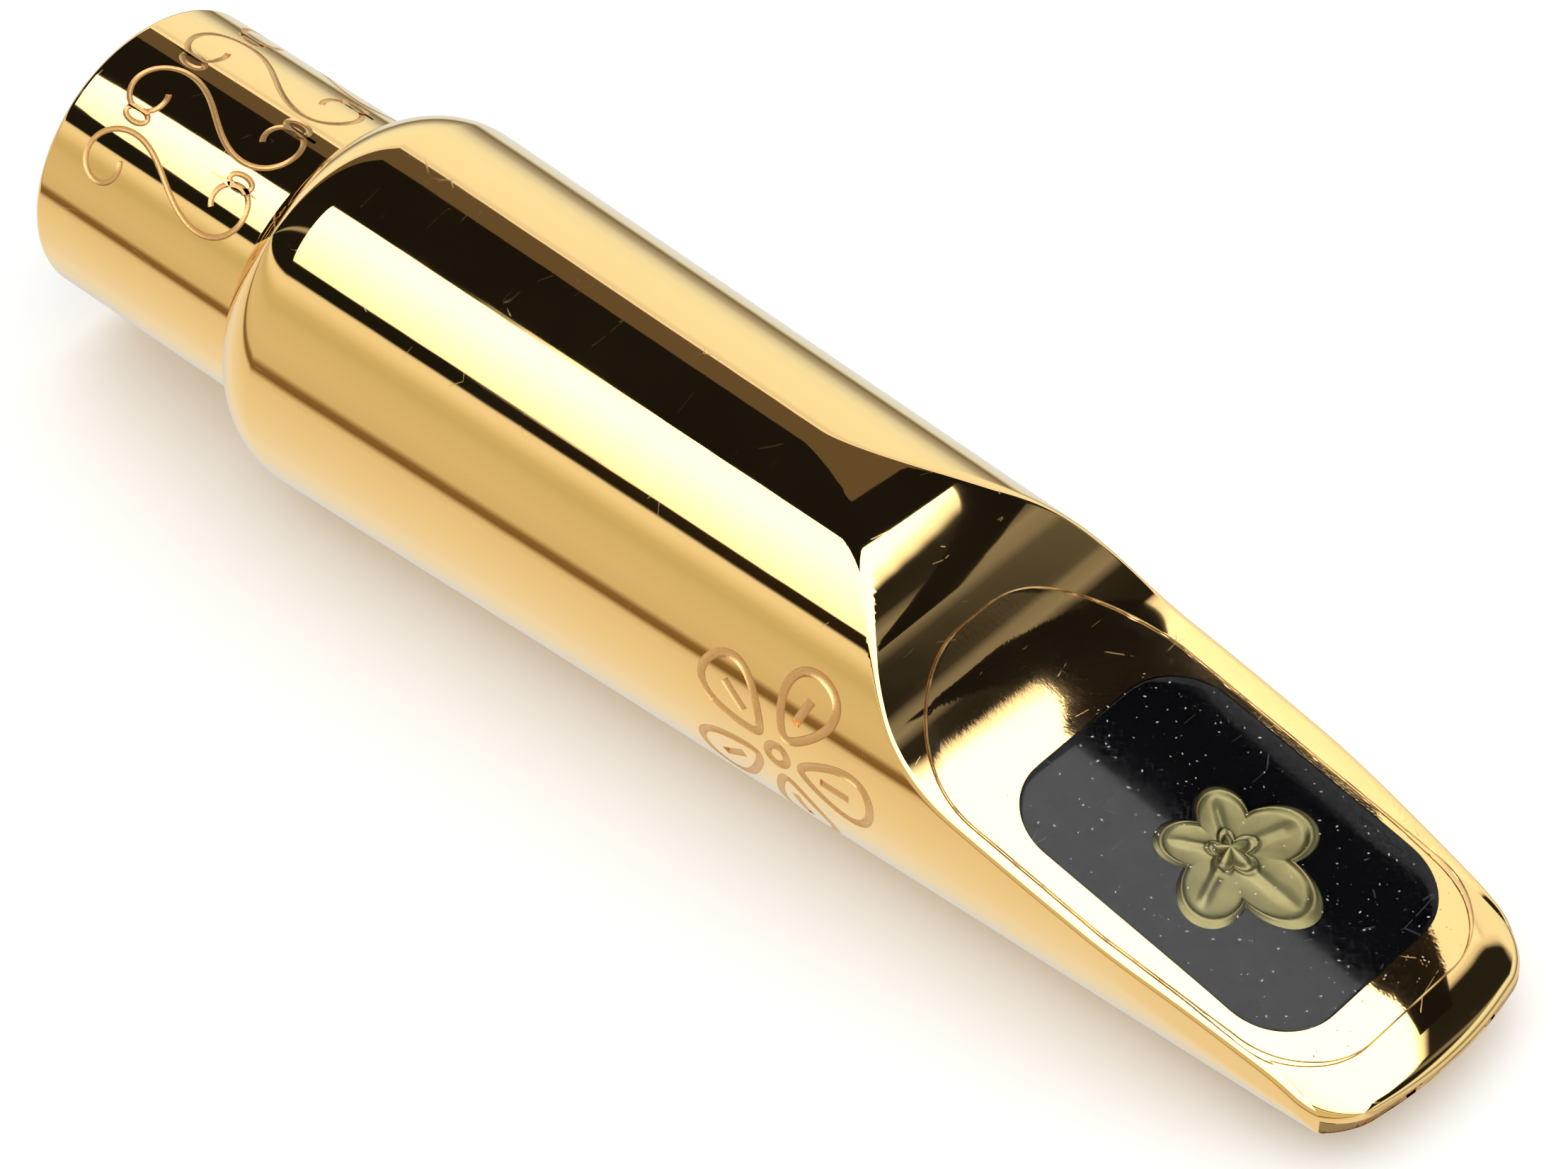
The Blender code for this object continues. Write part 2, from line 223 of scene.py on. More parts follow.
def bumped(tree, height, strength, distance):
    """The surface's direction, tilted by a pattern of heights. The distance is in metres."""
    inputs = {"Height": height, "Strength": strength, "Distance": distance}
    return add_node(tree, "ShaderNodeBump", inputs).outputs["Normal"]


print("linear gold:", [round(v, 3) for v in linear("#EFC988")[:3]])

# %% [markdown]
# ## The outside of the body as one rule
#
# The real outside is a turned cone with a rounded shoulder, cut by the curve of the beak, the flat table, and
# the outline of the tip. It could be cut with Booleans, but the creases between the cuts are blended by the
# polisher: softly where the scoop begins, crisply along the bite plate. A signed depth, less than zero inside
# the metal, can be written for each cut, and a soft maximum joins them with any radius. Polished metal shows
# every dent in a mesh, so the same rule also gives exact surface directions for the shading.

# %% Depth of each cut
BROW_HOLD = 0.80        # how far each end of the brow keeps its own slope, as a share of the corner's run
BROW_LEAD = 0.75


def turned_radius(x):
    """Radius of the turned shape: rounded rim, shank, shoulder and tapered barrel."""
    rim = SHANK_RADIUS - RIM_ROUND + np.sqrt(np.clip(RIM_ROUND**2 - (RIM_ROUND - x) ** 2, 0, None))
    shoulder = np.sqrt(np.clip(SHOULDER_RADIUS**2 - (SHOULDER_END - x) ** 2, 0, None))
    shoulder = BODY_RADIUS - SHOULDER_RADIUS + shoulder
    barrel = BODY_RADIUS - (x - SHOULDER_END) * math.tan(BODY_TAPER)
    bands = [x < RIM_ROUND, x < SHANK_LENGTH, x < SHOULDER_END]
    return np.select(bands, [rim, np.full_like(x, SHANK_RADIUS), shoulder], barrel)


def facing_height(x):
    """Height of the table and of the curve that its rails follow towards the tip."""
    past = np.clip(x - (LENGTH - FACING_LENGTH), 0, None)
    table = -TABLE_DEPTH + (x - SHOULDER_END) * math.tan(TABLE_ANGLE)
    return table + FACING_RADIUS - np.sqrt(FACING_RADIUS**2 - past**2)


def arc_points(x, z, radius, start, end, count):
    """Points (x, z, slope angle) on an arc, for angles measured from straight up."""
    turns = np.linspace(start, end, count)
    return np.stack([x + radius * np.sin(turns), z + radius * np.cos(turns), np.abs(turns)], -1)


def eased_brow(ends):
    """The brow as polishing leaves it, between the arc's ends: it rolls over slowly, then tighter."""
    along_barrel = np.array([math.cos(BODY_TAPER), -math.sin(BODY_TAPER)])
    down_scoop = np.array([math.cos(SCOOP_ANGLE), -math.sin(SCOOP_ANGLE)])
    corner_run = BROW_RADIUS * math.tan((SCOOP_ANGLE - BODY_TAPER) / 2)
    first = ends[0, :2] - BROW_EASE * along_barrel
    last = ends[1, :2]
    hold = first + BROW_HOLD * (BROW_EASE + corner_run) * along_barrel
    lead = last - BROW_LEAD * corner_run * down_scoop
    t = np.linspace(0, 1, 140)[:, None]
    points = (1 - t)**3 * first + 3 * (1 - t)**2 * t * hold + 3 * (1 - t) * t**2 * lead + t**3 * last
    way = (1 - t)**2 * (hold - first) + 2 * (1 - t) * t * (lead - hold) + t**2 * (last - lead)
    return np.column_stack([points, np.arctan2(-way[:, 1], way[:, 0])])


def beak_curve():
    """The top of the beak in side view, from the barrel to the tip, as rows of x, z and slope."""
    tip_z = float(facing_height(np.array(LENGTH))) + TIP_THICKNESS
    crown_x = LENGTH - TIP_CROWN_RADIUS * math.sin(TIP_SLOPE)
    crown_z = tip_z - TIP_CROWN_RADIUS * math.cos(TIP_SLOPE)
    crown = arc_points(crown_x, crown_z, TIP_CROWN_RADIUS, BEAK_ANGLE, TIP_SLOPE, 60)
    front = crown[0, :2]
    rear = front + BEAK_FLAT * np.array([-math.cos(BEAK_ANGLE), math.sin(BEAK_ANGLE)])
    scoop_x = rear[0] + SCOOP_RADIUS * math.sin(BEAK_ANGLE)
    scoop_z = rear[1] + SCOOP_RADIUS * math.cos(BEAK_ANGLE)
    scoop = arc_points(scoop_x, scoop_z, -SCOOP_RADIUS, SCOOP_ANGLE, BEAK_ANGLE, 80)
    foot = scoop[0, :2]
    run = BROW_RADIUS * (math.sin(SCOOP_ANGLE) - math.sin(BODY_TAPER))
    rise = BROW_RADIUS * (math.cos(BODY_TAPER) - math.cos(SCOOP_ANGLE))
    gap = float(turned_radius(np.array(foot[0] - run))) - foot[1] - rise
    slant = gap / (math.sin(SCOOP_ANGLE) - math.cos(SCOOP_ANGLE) * math.tan(BODY_TAPER))
    brow_x = foot[0] - slant * math.cos(SCOOP_ANGLE) - BROW_RADIUS * math.sin(SCOOP_ANGLE)
    brow_z = foot[1] + slant * math.sin(SCOOP_ANGLE) - BROW_RADIUS * math.cos(SCOOP_ANGLE)
    brow = eased_brow(arc_points(brow_x, brow_z, BROW_RADIUS, BODY_TAPER, SCOOP_ANGLE, 2))
    start = brow[0, :2] + 0.06 * np.array([-1, math.tan(BODY_TAPER)])
    end = crown[-1, :2] + 0.01 * np.array([1, -math.tan(TIP_SLOPE)])
    ends = np.array([[*start, BODY_TAPER]]), np.array([[*end, TIP_SLOPE]])
    return np.concatenate([ends[0], brow, scoop, crown, ends[1]]), rear, brow[0, 0]


BEAK_CURVE, FLAT_REAR, BROW_START = beak_curve()
print("scoop begins at", round(1000 * BROW_START, 1), "mm, bite flat at", (1000 * FLAT_REAR).round(1), "mm")

# %% [markdown]
# ## Soft maximum
#
# Where two cuts meet, the soft maximum rounds the edge. Its width is worked out from the wanted radius and
# from the angle between the two surfaces, so that a radius of a third of a millimetre is that all along.

# %% Blend the cuts
BROW_BLEND = 0.0100       # radius of the edge where the scoop begins
BEAK_BLEND = 0.00036      # radius along the bite flat
BLEND_END = 0.0615        # where the one has become the other
SIDE_BLEND = 0.00012      # widths of the two crisp blends
RAIL_BLEND = 0.00016
BOWED_FROM, BOWED_TO = 0.0820, 0.0925
BOW_SHARE = 0.85


def soft_max(first, second, width):
    near = np.clip(1 - np.abs(first - second) / width, 0, 1)
    return np.maximum(first, second) + width * near**2 / 4


def plan_depth(x, y):
    """Depth inside the tip's outline seen from above."""
    side = y - TIP_HALF_WIDTH - (TIP_CORNER - x) * math.tan(SIDE_ANGLE)
    side = side * math.cos(SIDE_ANGLE)
    bow = np.hypot(x - (LENGTH - TIP_BOW_RADIUS), y) - TIP_BOW_RADIUS
    sweep = (x - TIP_APEX + y * math.tan(TIP_SWEEP)) * math.cos(TIP_SWEEP)
    front = np.where(y < TIP_BOW_RADIUS * math.sin(TIP_SWEEP), bow, sweep)
    round_side = np.clip(side + TIP_CORNER_RADIUS, 0, None)
    round_front = np.clip(front + TIP_CORNER_RADIUS, 0, None)
    inside = np.minimum(np.maximum(side, front), -TIP_CORNER_RADIUS)
    return inside + np.hypot(round_side, round_front)


def smooth_step(value, start, end):
    part = np.clip((value - start) / (end - start), 0, 1)
    return part * part * (3 - 2 * part)


EDGE_REACH = np.linspace(0, TIP_HALF_WIDTH - 0.00028, 400)


def edge_fall():
    """How far the tip's edge falls back from its foremost point, at each reach to the side."""
    low = np.full_like(EDGE_REACH, LENGTH - 0.006)
    high = np.full_like(EDGE_REACH, LENGTH + 0.001)
    for _ in range(30):
        mid = (low + high) / 2
        inside = plan_depth(mid, EDGE_REACH) < 0
        low, high = np.where(inside, mid, low), np.where(inside, high, mid)
    return LENGTH - low


EDGE_FALL = edge_fall()


def depth(x, y, z):
    """Signed depth of a point in the bore's frame: less than zero in the metal."""
    y = np.abs(y)
    reach = np.hypot(y, z) + 1e-9
    turned = (reach - turned_radius(x)) * math.cos(BODY_TAPER)
    fallen = np.interp(y, EDGE_REACH, EDGE_FALL) * smooth_step(x, BOWED_FROM, BOWED_TO) * BOW_SHARE
    height = np.interp(x + fallen, BEAK_CURVE[:, 0], BEAK_CURVE[:, 1])
    slope = np.interp(x + fallen, BEAK_CURVE[:, 0], BEAK_CURVE[:, 2])
    beak = (z - height) * np.cos(slope)
    facing = (facing_height(x) - z) * math.cos(TABLE_ANGLE)

    outline = np.where(x > TIP_CORNER - SIDE_LENGTH - 0.002, plan_depth(x, y), -1.0)
    sides = soft_max(turned, outline, SIDE_BLEND)

    between = np.sin(slope) * math.sin(BODY_TAPER) + np.cos(slope) * z / reach
    angle = np.arccos(np.clip(between, -1, 1))
    along = np.clip((x - BROW_START) / (BLEND_END - BROW_START), 0, 1)
    radius = BROW_BLEND * (BEAK_BLEND / BROW_BLEND) ** (along**1.5)
    width = radius * np.tan(angle / 2) * np.sin(angle) + 1e-7
    top = soft_max(sides, beak, width)
    return soft_max(top, facing, RAIL_BLEND)


def directions(points):
    """Outward directions of the surface at the points, from small steps in the depth."""
    step = 4e-6
    found = []
    for axis in range(3):
        move = np.zeros(3)
        move[axis] = step
        found.append(depth(*(points + move).T) - depth(*(points - move).T))
    found = np.stack(found, -1)
    return found / (np.linalg.norm(found, axis=-1, keepdims=True) + 1e-12)


middle = np.array([0.030]), np.array([0.0]), np.array([0.0])
print("metal's depth at the bore's middle:", round(1000 * float(depth(*middle)[0]), 2), "mm")

# %% [markdown]
# ## Sections along the body
#
# The skin is laid over some two hundred sections. Rays run out from a short line inside each section, and
# halving finds where each meets the surface. The points are then spread by length and by turn, so that a
# tight edge gets as many as a wide side. Near the tip the sections are bowed like the tip's own edge.

# %% Place the sections
FINE = 1400             # rays in a section
AROUND = 264            # points kept
HALF_LINE = 0.0077      # half the line that the rays start from, near the tip
RAY_REACH = 0.0135
HALVINGS = 23


def section_places():
    rim = RIM_ROUND * (1 - np.cos(np.linspace(0, math.pi / 2, 9)))[1:]
    corner = [SHANK_LENGTH - 0.00003, SHANK_LENGTH + 0.00003]
    turns = np.linspace(SHOULDER_LIFT, 0, 26)[1:]
    shoulder = SHOULDER_END - SHOULDER_RADIUS * np.sin(turns)
    barrel = np.linspace(SHOULDER_END, BROW_START - 0.001, 10)[1:]
    scoop = np.arange(BROW_START - 0.0006, 0.0700, 0.00027)
    flat = np.arange(0.0702, 0.0880, 0.0006)
    crown = np.linspace(0.0882, LENGTH - 0.0007, 34)
    nose = LENGTH - 0.0006 * (1 - np.sin(np.linspace(0.1, math.pi / 2, 16)))
    nose[-1] = LENGTH - 0.000006
    shank = np.linspace(0.002, 0.014, 4)
    return np.concatenate([[1e-7], rim, shank, corner, shoulder, barrel, scoop, flat, crown, nose])


places = section_places()
print(len(places), "sections")

# %% Find the surface in every section


def section_points(places):
    """Points on the surface, one row of AROUND points for each section."""
    at = places[:, None]
    half_line = HALF_LINE * smooth_step(at, 0.060, 0.0915)
    beak_z = np.interp(at, BEAK_CURVE[:, 0], BEAK_CURVE[:, 1])
    middle_z = (beak_z + facing_height(at)) / 2 * smooth_step(at, 0.045, 0.062)

    part = (np.arange(FINE) + 0.5) / FINE
    flat_share = 0.34 * half_line / HALF_LINE
    side_share = 0.5 - flat_share
    half_turn = np.where(part < 0.5, part, part - 0.5)[None, :]
    on_flat = half_turn < flat_share
    run = np.where(on_flat, half_turn / np.maximum(flat_share, 1e-9), 1.0)
    fan = np.where(on_flat, 0.0, (half_turn - flat_share) / side_share)
    sign = np.where(part < 0.5, 1.0, -1.0)[None, :]
    from_y = sign * half_line * (2 * run - 1)
    turn = math.pi * fan + np.where(part < 0.5, 0, math.pi)[None, :]
    way_y, way_z = np.sin(turn), np.cos(turn)

    bow = smooth_step(at, 0.080, 0.0938)
    low, high = np.zeros_like(from_y), np.full_like(from_y, RAY_REACH)
    for _ in range(HALVINGS):
        mid = (low + high) / 2
        y, z = from_y + mid * way_y, middle_z + mid * way_z
        x = at - bow * np.interp(np.abs(y), EDGE_REACH, EDGE_FALL)
        inside = depth(x, y, z) < 0
        low, high = np.where(inside, mid, low), np.where(inside, high, mid)
    y, z = from_y + low * way_y, middle_z + low * way_z
    x = at - bow * np.interp(np.abs(y), EDGE_REACH, EDGE_FALL)
    return spread(np.stack([x, y, z], -1))


def spread(loops):
    """Spreads points evenly by a mix of length and turn along each closed loop."""
    ahead = np.roll(loops, -1, axis=1) - loops
    length = np.linalg.norm(ahead, axis=-1) + 1e-12
    way = ahead / length[..., None]
    bend = np.arccos(np.clip((way * np.roll(way, 1, axis=1)).sum(-1), -1, 1))
    weight = length / length.sum(1, keepdims=True)
    weight = weight + 0.9 * (bend + np.roll(bend, -1, axis=1)) / (4 * math.pi)
    kept = []
    for loop, each in zip(loops, weight):
        total = np.concatenate([[0], np.cumsum(each)])
        wanted = (np.arange(AROUND) / AROUND) * total[-1]
        closed = np.concatenate([loop, loop[:1]])
        kept.append(np.stack([np.interp(wanted, total, closed[:, axis]) for axis in range(3)], -1))
    return np.array(kept)


skin_points = section_points(places)
print("skin points:", skin_points.shape, "longest", round(1000 * skin_points[..., 0].max(), 2), "mm")

# %% [markdown]
# ## Skin, bore and window
#
# The sections become one closed mesh. The bore, the chamber and the window under the beak are then cut out
# with Booleans, because their edges are crisp where the real tools left them.

# %% Mesh helpers


def make_object(name, points, faces, matrix=None):
    mesh = bpy.data.meshes.new(name)
    mesh.from_pydata([tuple(p) for p in points], [], [tuple(f) for f in faces])
    obj = bpy.data.objects.new(name, mesh)
    scene.collection.objects.link(obj)
    clean = bmesh.new()
    clean.from_mesh(mesh)
    bmesh.ops.recalc_face_normals(clean, faces=clean.faces)
    if clean.calc_volume(signed=True) < 0:
        bmesh.ops.reverse_faces(clean, faces=clean.faces)
    clean.to_mesh(mesh)
    clean.free()
    if matrix is not None:
        mesh.transform(matrix)
    return obj


def loft(name, loops, matrix=None):
    """A closed mesh through loops of equal count, with flat ends."""
    rows, count = len(loops), len(loops[0])
    points = np.concatenate(loops)
    corner = np.arange(rows * count).reshape(rows, count)
    after = np.roll(corner, -1, axis=1)
    faces = np.stack([corner[:-1], after[:-1], after[1:], corner[1:]], -1).reshape(-1, 4).tolist()
    faces += [corner[0].tolist(), corner[-1].tolist()]
    return make_object(name, points, faces, matrix)


def keep_result(obj, modifier):
    """Makes what the modifier gives the object's own mesh."""
    graph = bpy.context.evaluated_depsgraph_get()
    made = bpy.data.meshes.new_from_object(obj.evaluated_get(graph))
    obj.modifiers.remove(modifier)
    obj.data = made


def cut(obj, cutter, operation="DIFFERENCE"):
    """Cuts the closed mesh and keeps the result."""
    boolean = obj.modifiers.new("cut", "BOOLEAN")
    boolean.operation = operation
    boolean.solver = "MANIFOLD"
    boolean.object = cutter
    keep_result(obj, boolean)
    bpy.data.objects.remove(cutter)


body = loft("gold_body", skin_points)
print("skin:", len(body.data.polygons), "faces")

# %% Bore, chamber and window cutters


def turned_loops(profile, count=160):
    turns = np.arange(count) * 2 * math.pi / count
    return [np.stack([np.full(count, x), r * np.cos(turns), r * np.sin(turns)], -1) for x, r in profile]


def prism(name, outline, low, high, side_view=False):
    """A closed prism on an outline, in plan or in side view."""
    outline = np.array(outline, float)
    loops = []
    for level in (low, high):
        flat = np.full(len(outline), level)
        if side_view:
            loops.append(np.stack([outline[:, 0], flat, outline[:, 1]], -1))
        else:
            loops.append(np.stack([outline[:, 0], outline[:, 1], flat], -1))
    return loft(name, loops)


def window_cavity():
    """The space above the window: its roof follows the beak and its sides follow the rails."""
    rear, front = LENGTH - WINDOW_LENGTH, TIP_CORNER - TIP_RAIL
    flat_front = FLAT_REAR + BEAK_FLAT * np.array([math.cos(BEAK_ANGLE), -math.sin(BEAK_ANGLE)])
    drop = np.array([0, ROOF_DEPTH / math.cos(BEAK_ANGLE)])
    end = LENGTH - TIP_RAIL
    throat = CHAMBER_RADIUS * 0.62
    roof = [(rear, throat), (rear + CHAMBER_RADIUS, throat), FLAT_REAR - drop, flat_front - drop]
    roof += [(end, float(facing_height(np.array(end)))), (end, -0.03), (rear, -0.03)]
    cavity = prism("window_cavity", roof, -0.03, 0.03, side_view=True)
    runs = np.linspace(rear, front, 41)
    half = np.sqrt(turned_radius(runs) ** 2 - facing_height(runs) ** 2) - RAIL_WIDTH
    bend = np.linspace(math.pi, math.pi / 2, 20)
    round_end = [(rear + half[0] * (1 + math.cos(t)), -half[0] * math.sin(t)) for t in bend]
    lower = round_end[1:] + [(x, -y) for x, y in zip(runs, half) if x > rear + half[0]]
    outline = [round_end[0], *lower, (end, 0), *[(x, -y) for x, y in reversed(lower)]]
    cut(cavity, prism("window_outline", outline, -0.035, 0.035), "INTERSECT")
    return cavity


chamber_end = LENGTH - WINDOW_LENGTH + CHAMBER_RADIUS / 2
bore_profile = [(-0.01, BORE_RADIUS), (0.0, BORE_RADIUS + 0.00012), (0.00015, BORE_RADIUS)]
bore_profile += [(BORE_DEPTH, BORE_RADIUS), (BORE_DEPTH, CHAMBER_RADIUS)]
bore_profile += [(chamber_end - CHAMBER_RADIUS / 2, CHAMBER_RADIUS)]
bore_profile += [(chamber_end + CHAMBER_RADIUS / 2, CHAMBER_RADIUS / 2)]
cut(body, loft("bore_cutter", turned_loops(bore_profile)))
cut(body, window_cavity())
print("after bore and window:", len(body.data.polygons), "faces")

# %% [markdown]
# ## Plate, badge and film: one tilted frame
#
# The bite plate lies in the flat of the beak. Its own frame has X towards the tip and Z out of the beak, and
# its place comes from the CAD plate's box, whose middle is the middle of the solid.

# %% Plate frame and outlines
PLATE_LENGTH = 0.0200
PLATE_WIDTH = 0.0148
PLATE_CORNER = 0.0038
PLATE_THICKNESS = 0.0010
HAIRLINE = 0.00004
BADGE_RADIUS = 0.0048
PETALS = 5

plate_low, plate_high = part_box("bite_plate")
plate_middle = (Vector(plate_low) + Vector(plate_high)) / 2
tilt = Matrix.Rotation(TABLE_ANGLE + BEAK_ANGLE, 4, "Y")
PLATE = Matrix.Translation(plate_middle) @ tilt @ Matrix.Translation((0, 0, PLATE_THICKNESS / 2))
PLATE_IN_BORE = BORE.inverted() @ PLATE


def rounded_outline(length, width, front, rear, steps=14):
    """A rectangle with rounded corners, centred, with one radius in front and another behind."""
    corners = [(1, -1, front, -90), (1, 1, front, 0), (-1, 1, rear, 90), (-1, -1, rear, 180)]
    points = []
    for side_x, side_y, radius, start in corners:
        centre = side_x * (length / 2 - radius), side_y * (width / 2 - radius)
        for step in range(steps + 1):
            turn = math.radians(start + 90 * step / steps)
            points.append((centre[0] + radius * math.cos(turn), centre[1] + radius * math.sin(turn)))
    return points


def petal_reach(turn):
    """Reach of the rosette's edge: petals round a centre, the one towards the tip the longest."""
    petal = 0.62 + 0.38 * np.abs(np.cos(PETALS * turn / 2))
    return BADGE_RADIUS * petal * (1 + 0.22 * np.cos(turn))


pocket = rounded_outline(PLATE_LENGTH + HAIRLINE, PLATE_WIDTH + HAIRLINE, PLATE_CORNER, PLATE_CORNER)
pocket_cutter = prism("pocket_cutter", pocket, -PLATE_THICKNESS - HAIRLINE, 0.004)
pocket_cutter.data.transform(PLATE_IN_BORE)
cut(body, pocket_cutter)
print("plate middle", [round(1000 * v, 2) for v in plate_middle], "mm")

# %% [markdown]
# ## Engraving
#
# The ornament on the barrel's side and round the shank is cut by a small round-nosed graver, which leaves a
# shallow satin groove. Each stroke is a line laid on the body. Geometry Nodes sweep the graver's round nose
# along it, and the swept shape cuts the groove. The ornament is plain: a rosette and a row of scrolls.

# %% The graver as Geometry Nodes


def growing_tree(name, sockets):
    """A Geometry Nodes tree with named inputs, and the sockets that give them."""
    tree = bpy.data.node_groups.new(name, "GeometryNodeTree")
    for label, kind in {"Geometry": "Geometry", **sockets, "Finish": "Material"}.items():
        tree.interface.new_socket(label, in_out="INPUT", socket_type="NodeSocket" + kind)
    tree.interface.new_socket("Geometry", in_out="OUTPUT", socket_type="NodeSocketGeometry")
    return tree, add_node(tree, "NodeGroupInput").outputs


def give_out(tree, geometry, finish):
    """Makes the instances real, gives them their material and ends the tree."""
    real = add_node(tree, "GeometryNodeRealizeInstances", {"Geometry": geometry})
    painted = add_node(tree, "GeometryNodeSetMaterial",
                       {"Geometry": real.outputs["Geometry"], "Material": finish})
    add_node(tree, "NodeGroupOutput", {"Geometry": painted.outputs["Geometry"]})


def graver_nodes():
    """Sweeps a round nose along each stroke. Inputs: nose radius and sides."""
    tree, given = growing_tree("graver", {"Nose radius": "Float", "Nose sides": "Int"})
    line = add_node(tree, "GeometryNodeMeshToCurve", {"Mesh": given["Geometry"]})
    nose = add_node(tree, "GeometryNodeCurvePrimitiveCircle",
                    {"Radius": given["Nose radius"], "Resolution": given["Nose sides"]})
    swept = add_node(tree, "GeometryNodeCurveToMesh",
                     {"Curve": line.outputs["Curve"], "Profile Curve": nose.outputs["Curve"],
                      "Fill Caps": True})
    give_out(tree, swept.outputs["Mesh"], given["Finish"])
    return tree


def grow(obj, tree, **settings):
    """Runs a node tree on the object with its named inputs, and keeps the result as a plain mesh."""
    modifier = obj.modifiers.new("nodes", "NODES")
    modifier.node_group = tree
    for item in tree.interface.items_tree:
        key = item.name.lower().replace(" ", "_")
        if item.in_out == "INPUT" and key in settings:
            modifier[item.identifier] = settings[key]
    keep_result(obj, modifier)
    return obj


GRAVER = graver_nodes()
NOSE_RADIUS = 0.00034
GROOVE_DEPTH = 0.00015


def lay_on_body(run, girth, centre_x, centre_turn, nose=NOSE_RADIUS):
    """Points on the turned body: run goes along the bore and girth round it, both in metres."""
    x = centre_x + run
    radius = turned_radius(x)
    turn = centre_turn + girth / radius
    reach = radius + nose - GROOVE_DEPTH * nose / NOSE_RADIUS
    return np.stack([x, -reach * np.cos(turn), reach * np.sin(turn)], -1)


def strokes_object(name, strokes):
    """Lines as a mesh of edges; a closed one joins its ends."""
    points, edges = [], []
    for line, closed in strokes:
        first = len(points)
        points += [tuple(p) for p in line]
        edges += [(first + i, first + i + 1) for i in range(len(line) - 1)]
        if closed:
            edges.append((first + len(line) - 1, first))
    mesh = bpy.data.meshes.new(name)
    mesh.from_pydata(points, edges, [])
    obj = bpy.data.objects.new(name, mesh)
    scene.collection.objects.link(obj)
    return obj


# %% Rosette on the barrel's side
ROSETTE_X = 0.0574
ROSETTE_TURN = math.radians(-2)


def side_rosette():
    strokes = []
    around = np.linspace(0, 2 * math.pi, 61)[:-1]
    for petal in range(PETALS):
        way = 2 * math.pi * petal / PETALS
        along = 0.0039 - 0.0023 * np.cos(around)
        wide = 0.00150 * np.sin(around) * (1 - 0.45 * np.cos(around))
        run = along * math.cos(way) - wide * math.sin(way)
        girth = along * math.sin(way) + wide * math.cos(way)
        strokes.append((lay_on_body(run, girth, ROSETTE_X, ROSETTE_TURN), True))
        rib = np.linspace(0.0029, 0.0048, 12)
        line = lay_on_body(rib * math.cos(way), rib * math.sin(way), ROSETTE_X, ROSETTE_TURN)
        strokes.append((line, False))
    boss = lay_on_body(0.00065 * np.cos(around), 0.00065 * np.sin(around), ROSETTE_X, ROSETTE_TURN)
    strokes.append((boss, True))
    return strokes


# %% Scrolls round the shank
SCROLL_SIZE = 0.0060
SCROLL_TURNS = [46, 76, 106, 136]
SCROLL_ENDS = 1.95      # how far the spiral is wound at each end
FINE_NOSE = 0.00023


def scroll_line(lean):
    """A double spiral whose curve tightens evenly towards both ends."""
    steps = np.linspace(-SCROLL_ENDS, SCROLL_ENDS, 181)
    heading = math.pi / 2 * steps**2
    run = np.cumsum(np.cos(heading)) * (steps[1] - steps[0])
    rise = np.cumsum(np.sin(heading)) * (steps[1] - steps[0])
    run, rise = run - run[90], rise - rise[90]
    lean = lean - math.pi / 4
    return (SCROLL_SIZE * (run * math.cos(lean) - rise * math.sin(lean)),
            SCROLL_SIZE * (run * math.sin(lean) + rise * math.cos(lean)))


def shank_scrolls():
    strokes = []
    run, girth = scroll_line(math.radians(12))
    for turn in SCROLL_TURNS:
        strokes.append((lay_on_body(run, girth, 0.0083, math.radians(turn), FINE_NOSE), False))
    leaf = np.linspace(0, 2 * math.pi, 31)[:-1]
    for first, second in zip(SCROLL_TURNS, SCROLL_TURNS[1:]):
        for place in (0.0042, 0.0124):
            line = lay_on_body(0.0008 * np.cos(leaf), 0.00042 * np.sin(leaf), place,
                               math.radians((first + second) / 2), FINE_NOSE)
            strokes.append((line, True))
    return strokes


ornaments = [("rosette", side_rosette(), NOSE_RADIUS), ("scrolls", shank_scrolls(), FINE_NOSE)]
for name, strokes, nose in ornaments:
    graver = grow(strokes_object(name, strokes), GRAVER, nose_radius=nose, nose_sides=12)
    print(name, "graver path:", len(graver.data.polygons), "faces")
    cut(body, graver)
print("after engraving:", len(body.data.polygons), "faces")

# %% [markdown]
# ## Polished gold plate
#
# Gold plating is a few micrometres of gold over polished brass. It takes its whole look from what it mirrors.
# The polishing wheel leaves it almost perfectly smooth, so the roughness is very low, with a faint slow
# waviness about three millimetres long, and a few hairline rubs from handling that scatter light.

# %% Material: polished gold plate


def hairlines(tree, place, cell_mm, width_mm, cover, seed):
    """Broken thin lines about width_mm wide on a net of cells: 1 on a line, 0 elsewhere."""
    moved = add_node(tree, "ShaderNodeMapping",
                     {"Vector": place, "Location": (seed, 2 * seed, -seed), "Scale": (1.0, 0.35, 1.0)})
    net = add_node(tree, "ShaderNodeTexVoronoi",
                   {"Vector": moved.outputs["Vector"], "Scale": 1000 / cell_mm}, feature="DISTANCE_TO_EDGE")
    line = maths(tree, "LESS_THAN", net.outputs["Distance"], width_mm / cell_mm)
    some = maths(tree, "GREATER_THAN", noise(tree, place, 1000 / (0.8 * cell_mm)), 1 - cover)
    return maths(tree, "MULTIPLY", line, some)


def polished_gold_plate():
    made, tree, place = new_material("polished_gold_plate")
    rubs = hairlines(tree, place, 2.4, 0.016, 0.40, 3.1)
    haze = noise(tree, place, 160.0, 3.0)
    rough = ranged(tree, haze, 0.35, 0.75, 0.022, 0.05)
    surface(tree, {"Base Color": mixed(tree, haze, linear("#F0C985"), linear("#F4CD8A")),
                   "Roughness": maths(tree, "MULTIPLY_ADD", rubs, 0.12, rough),
                   "Normal": bumped(tree, noise(tree, place, 330.0, 1.0), 0.10, 0.00004),
                   "Metallic": 1.0})
    return made


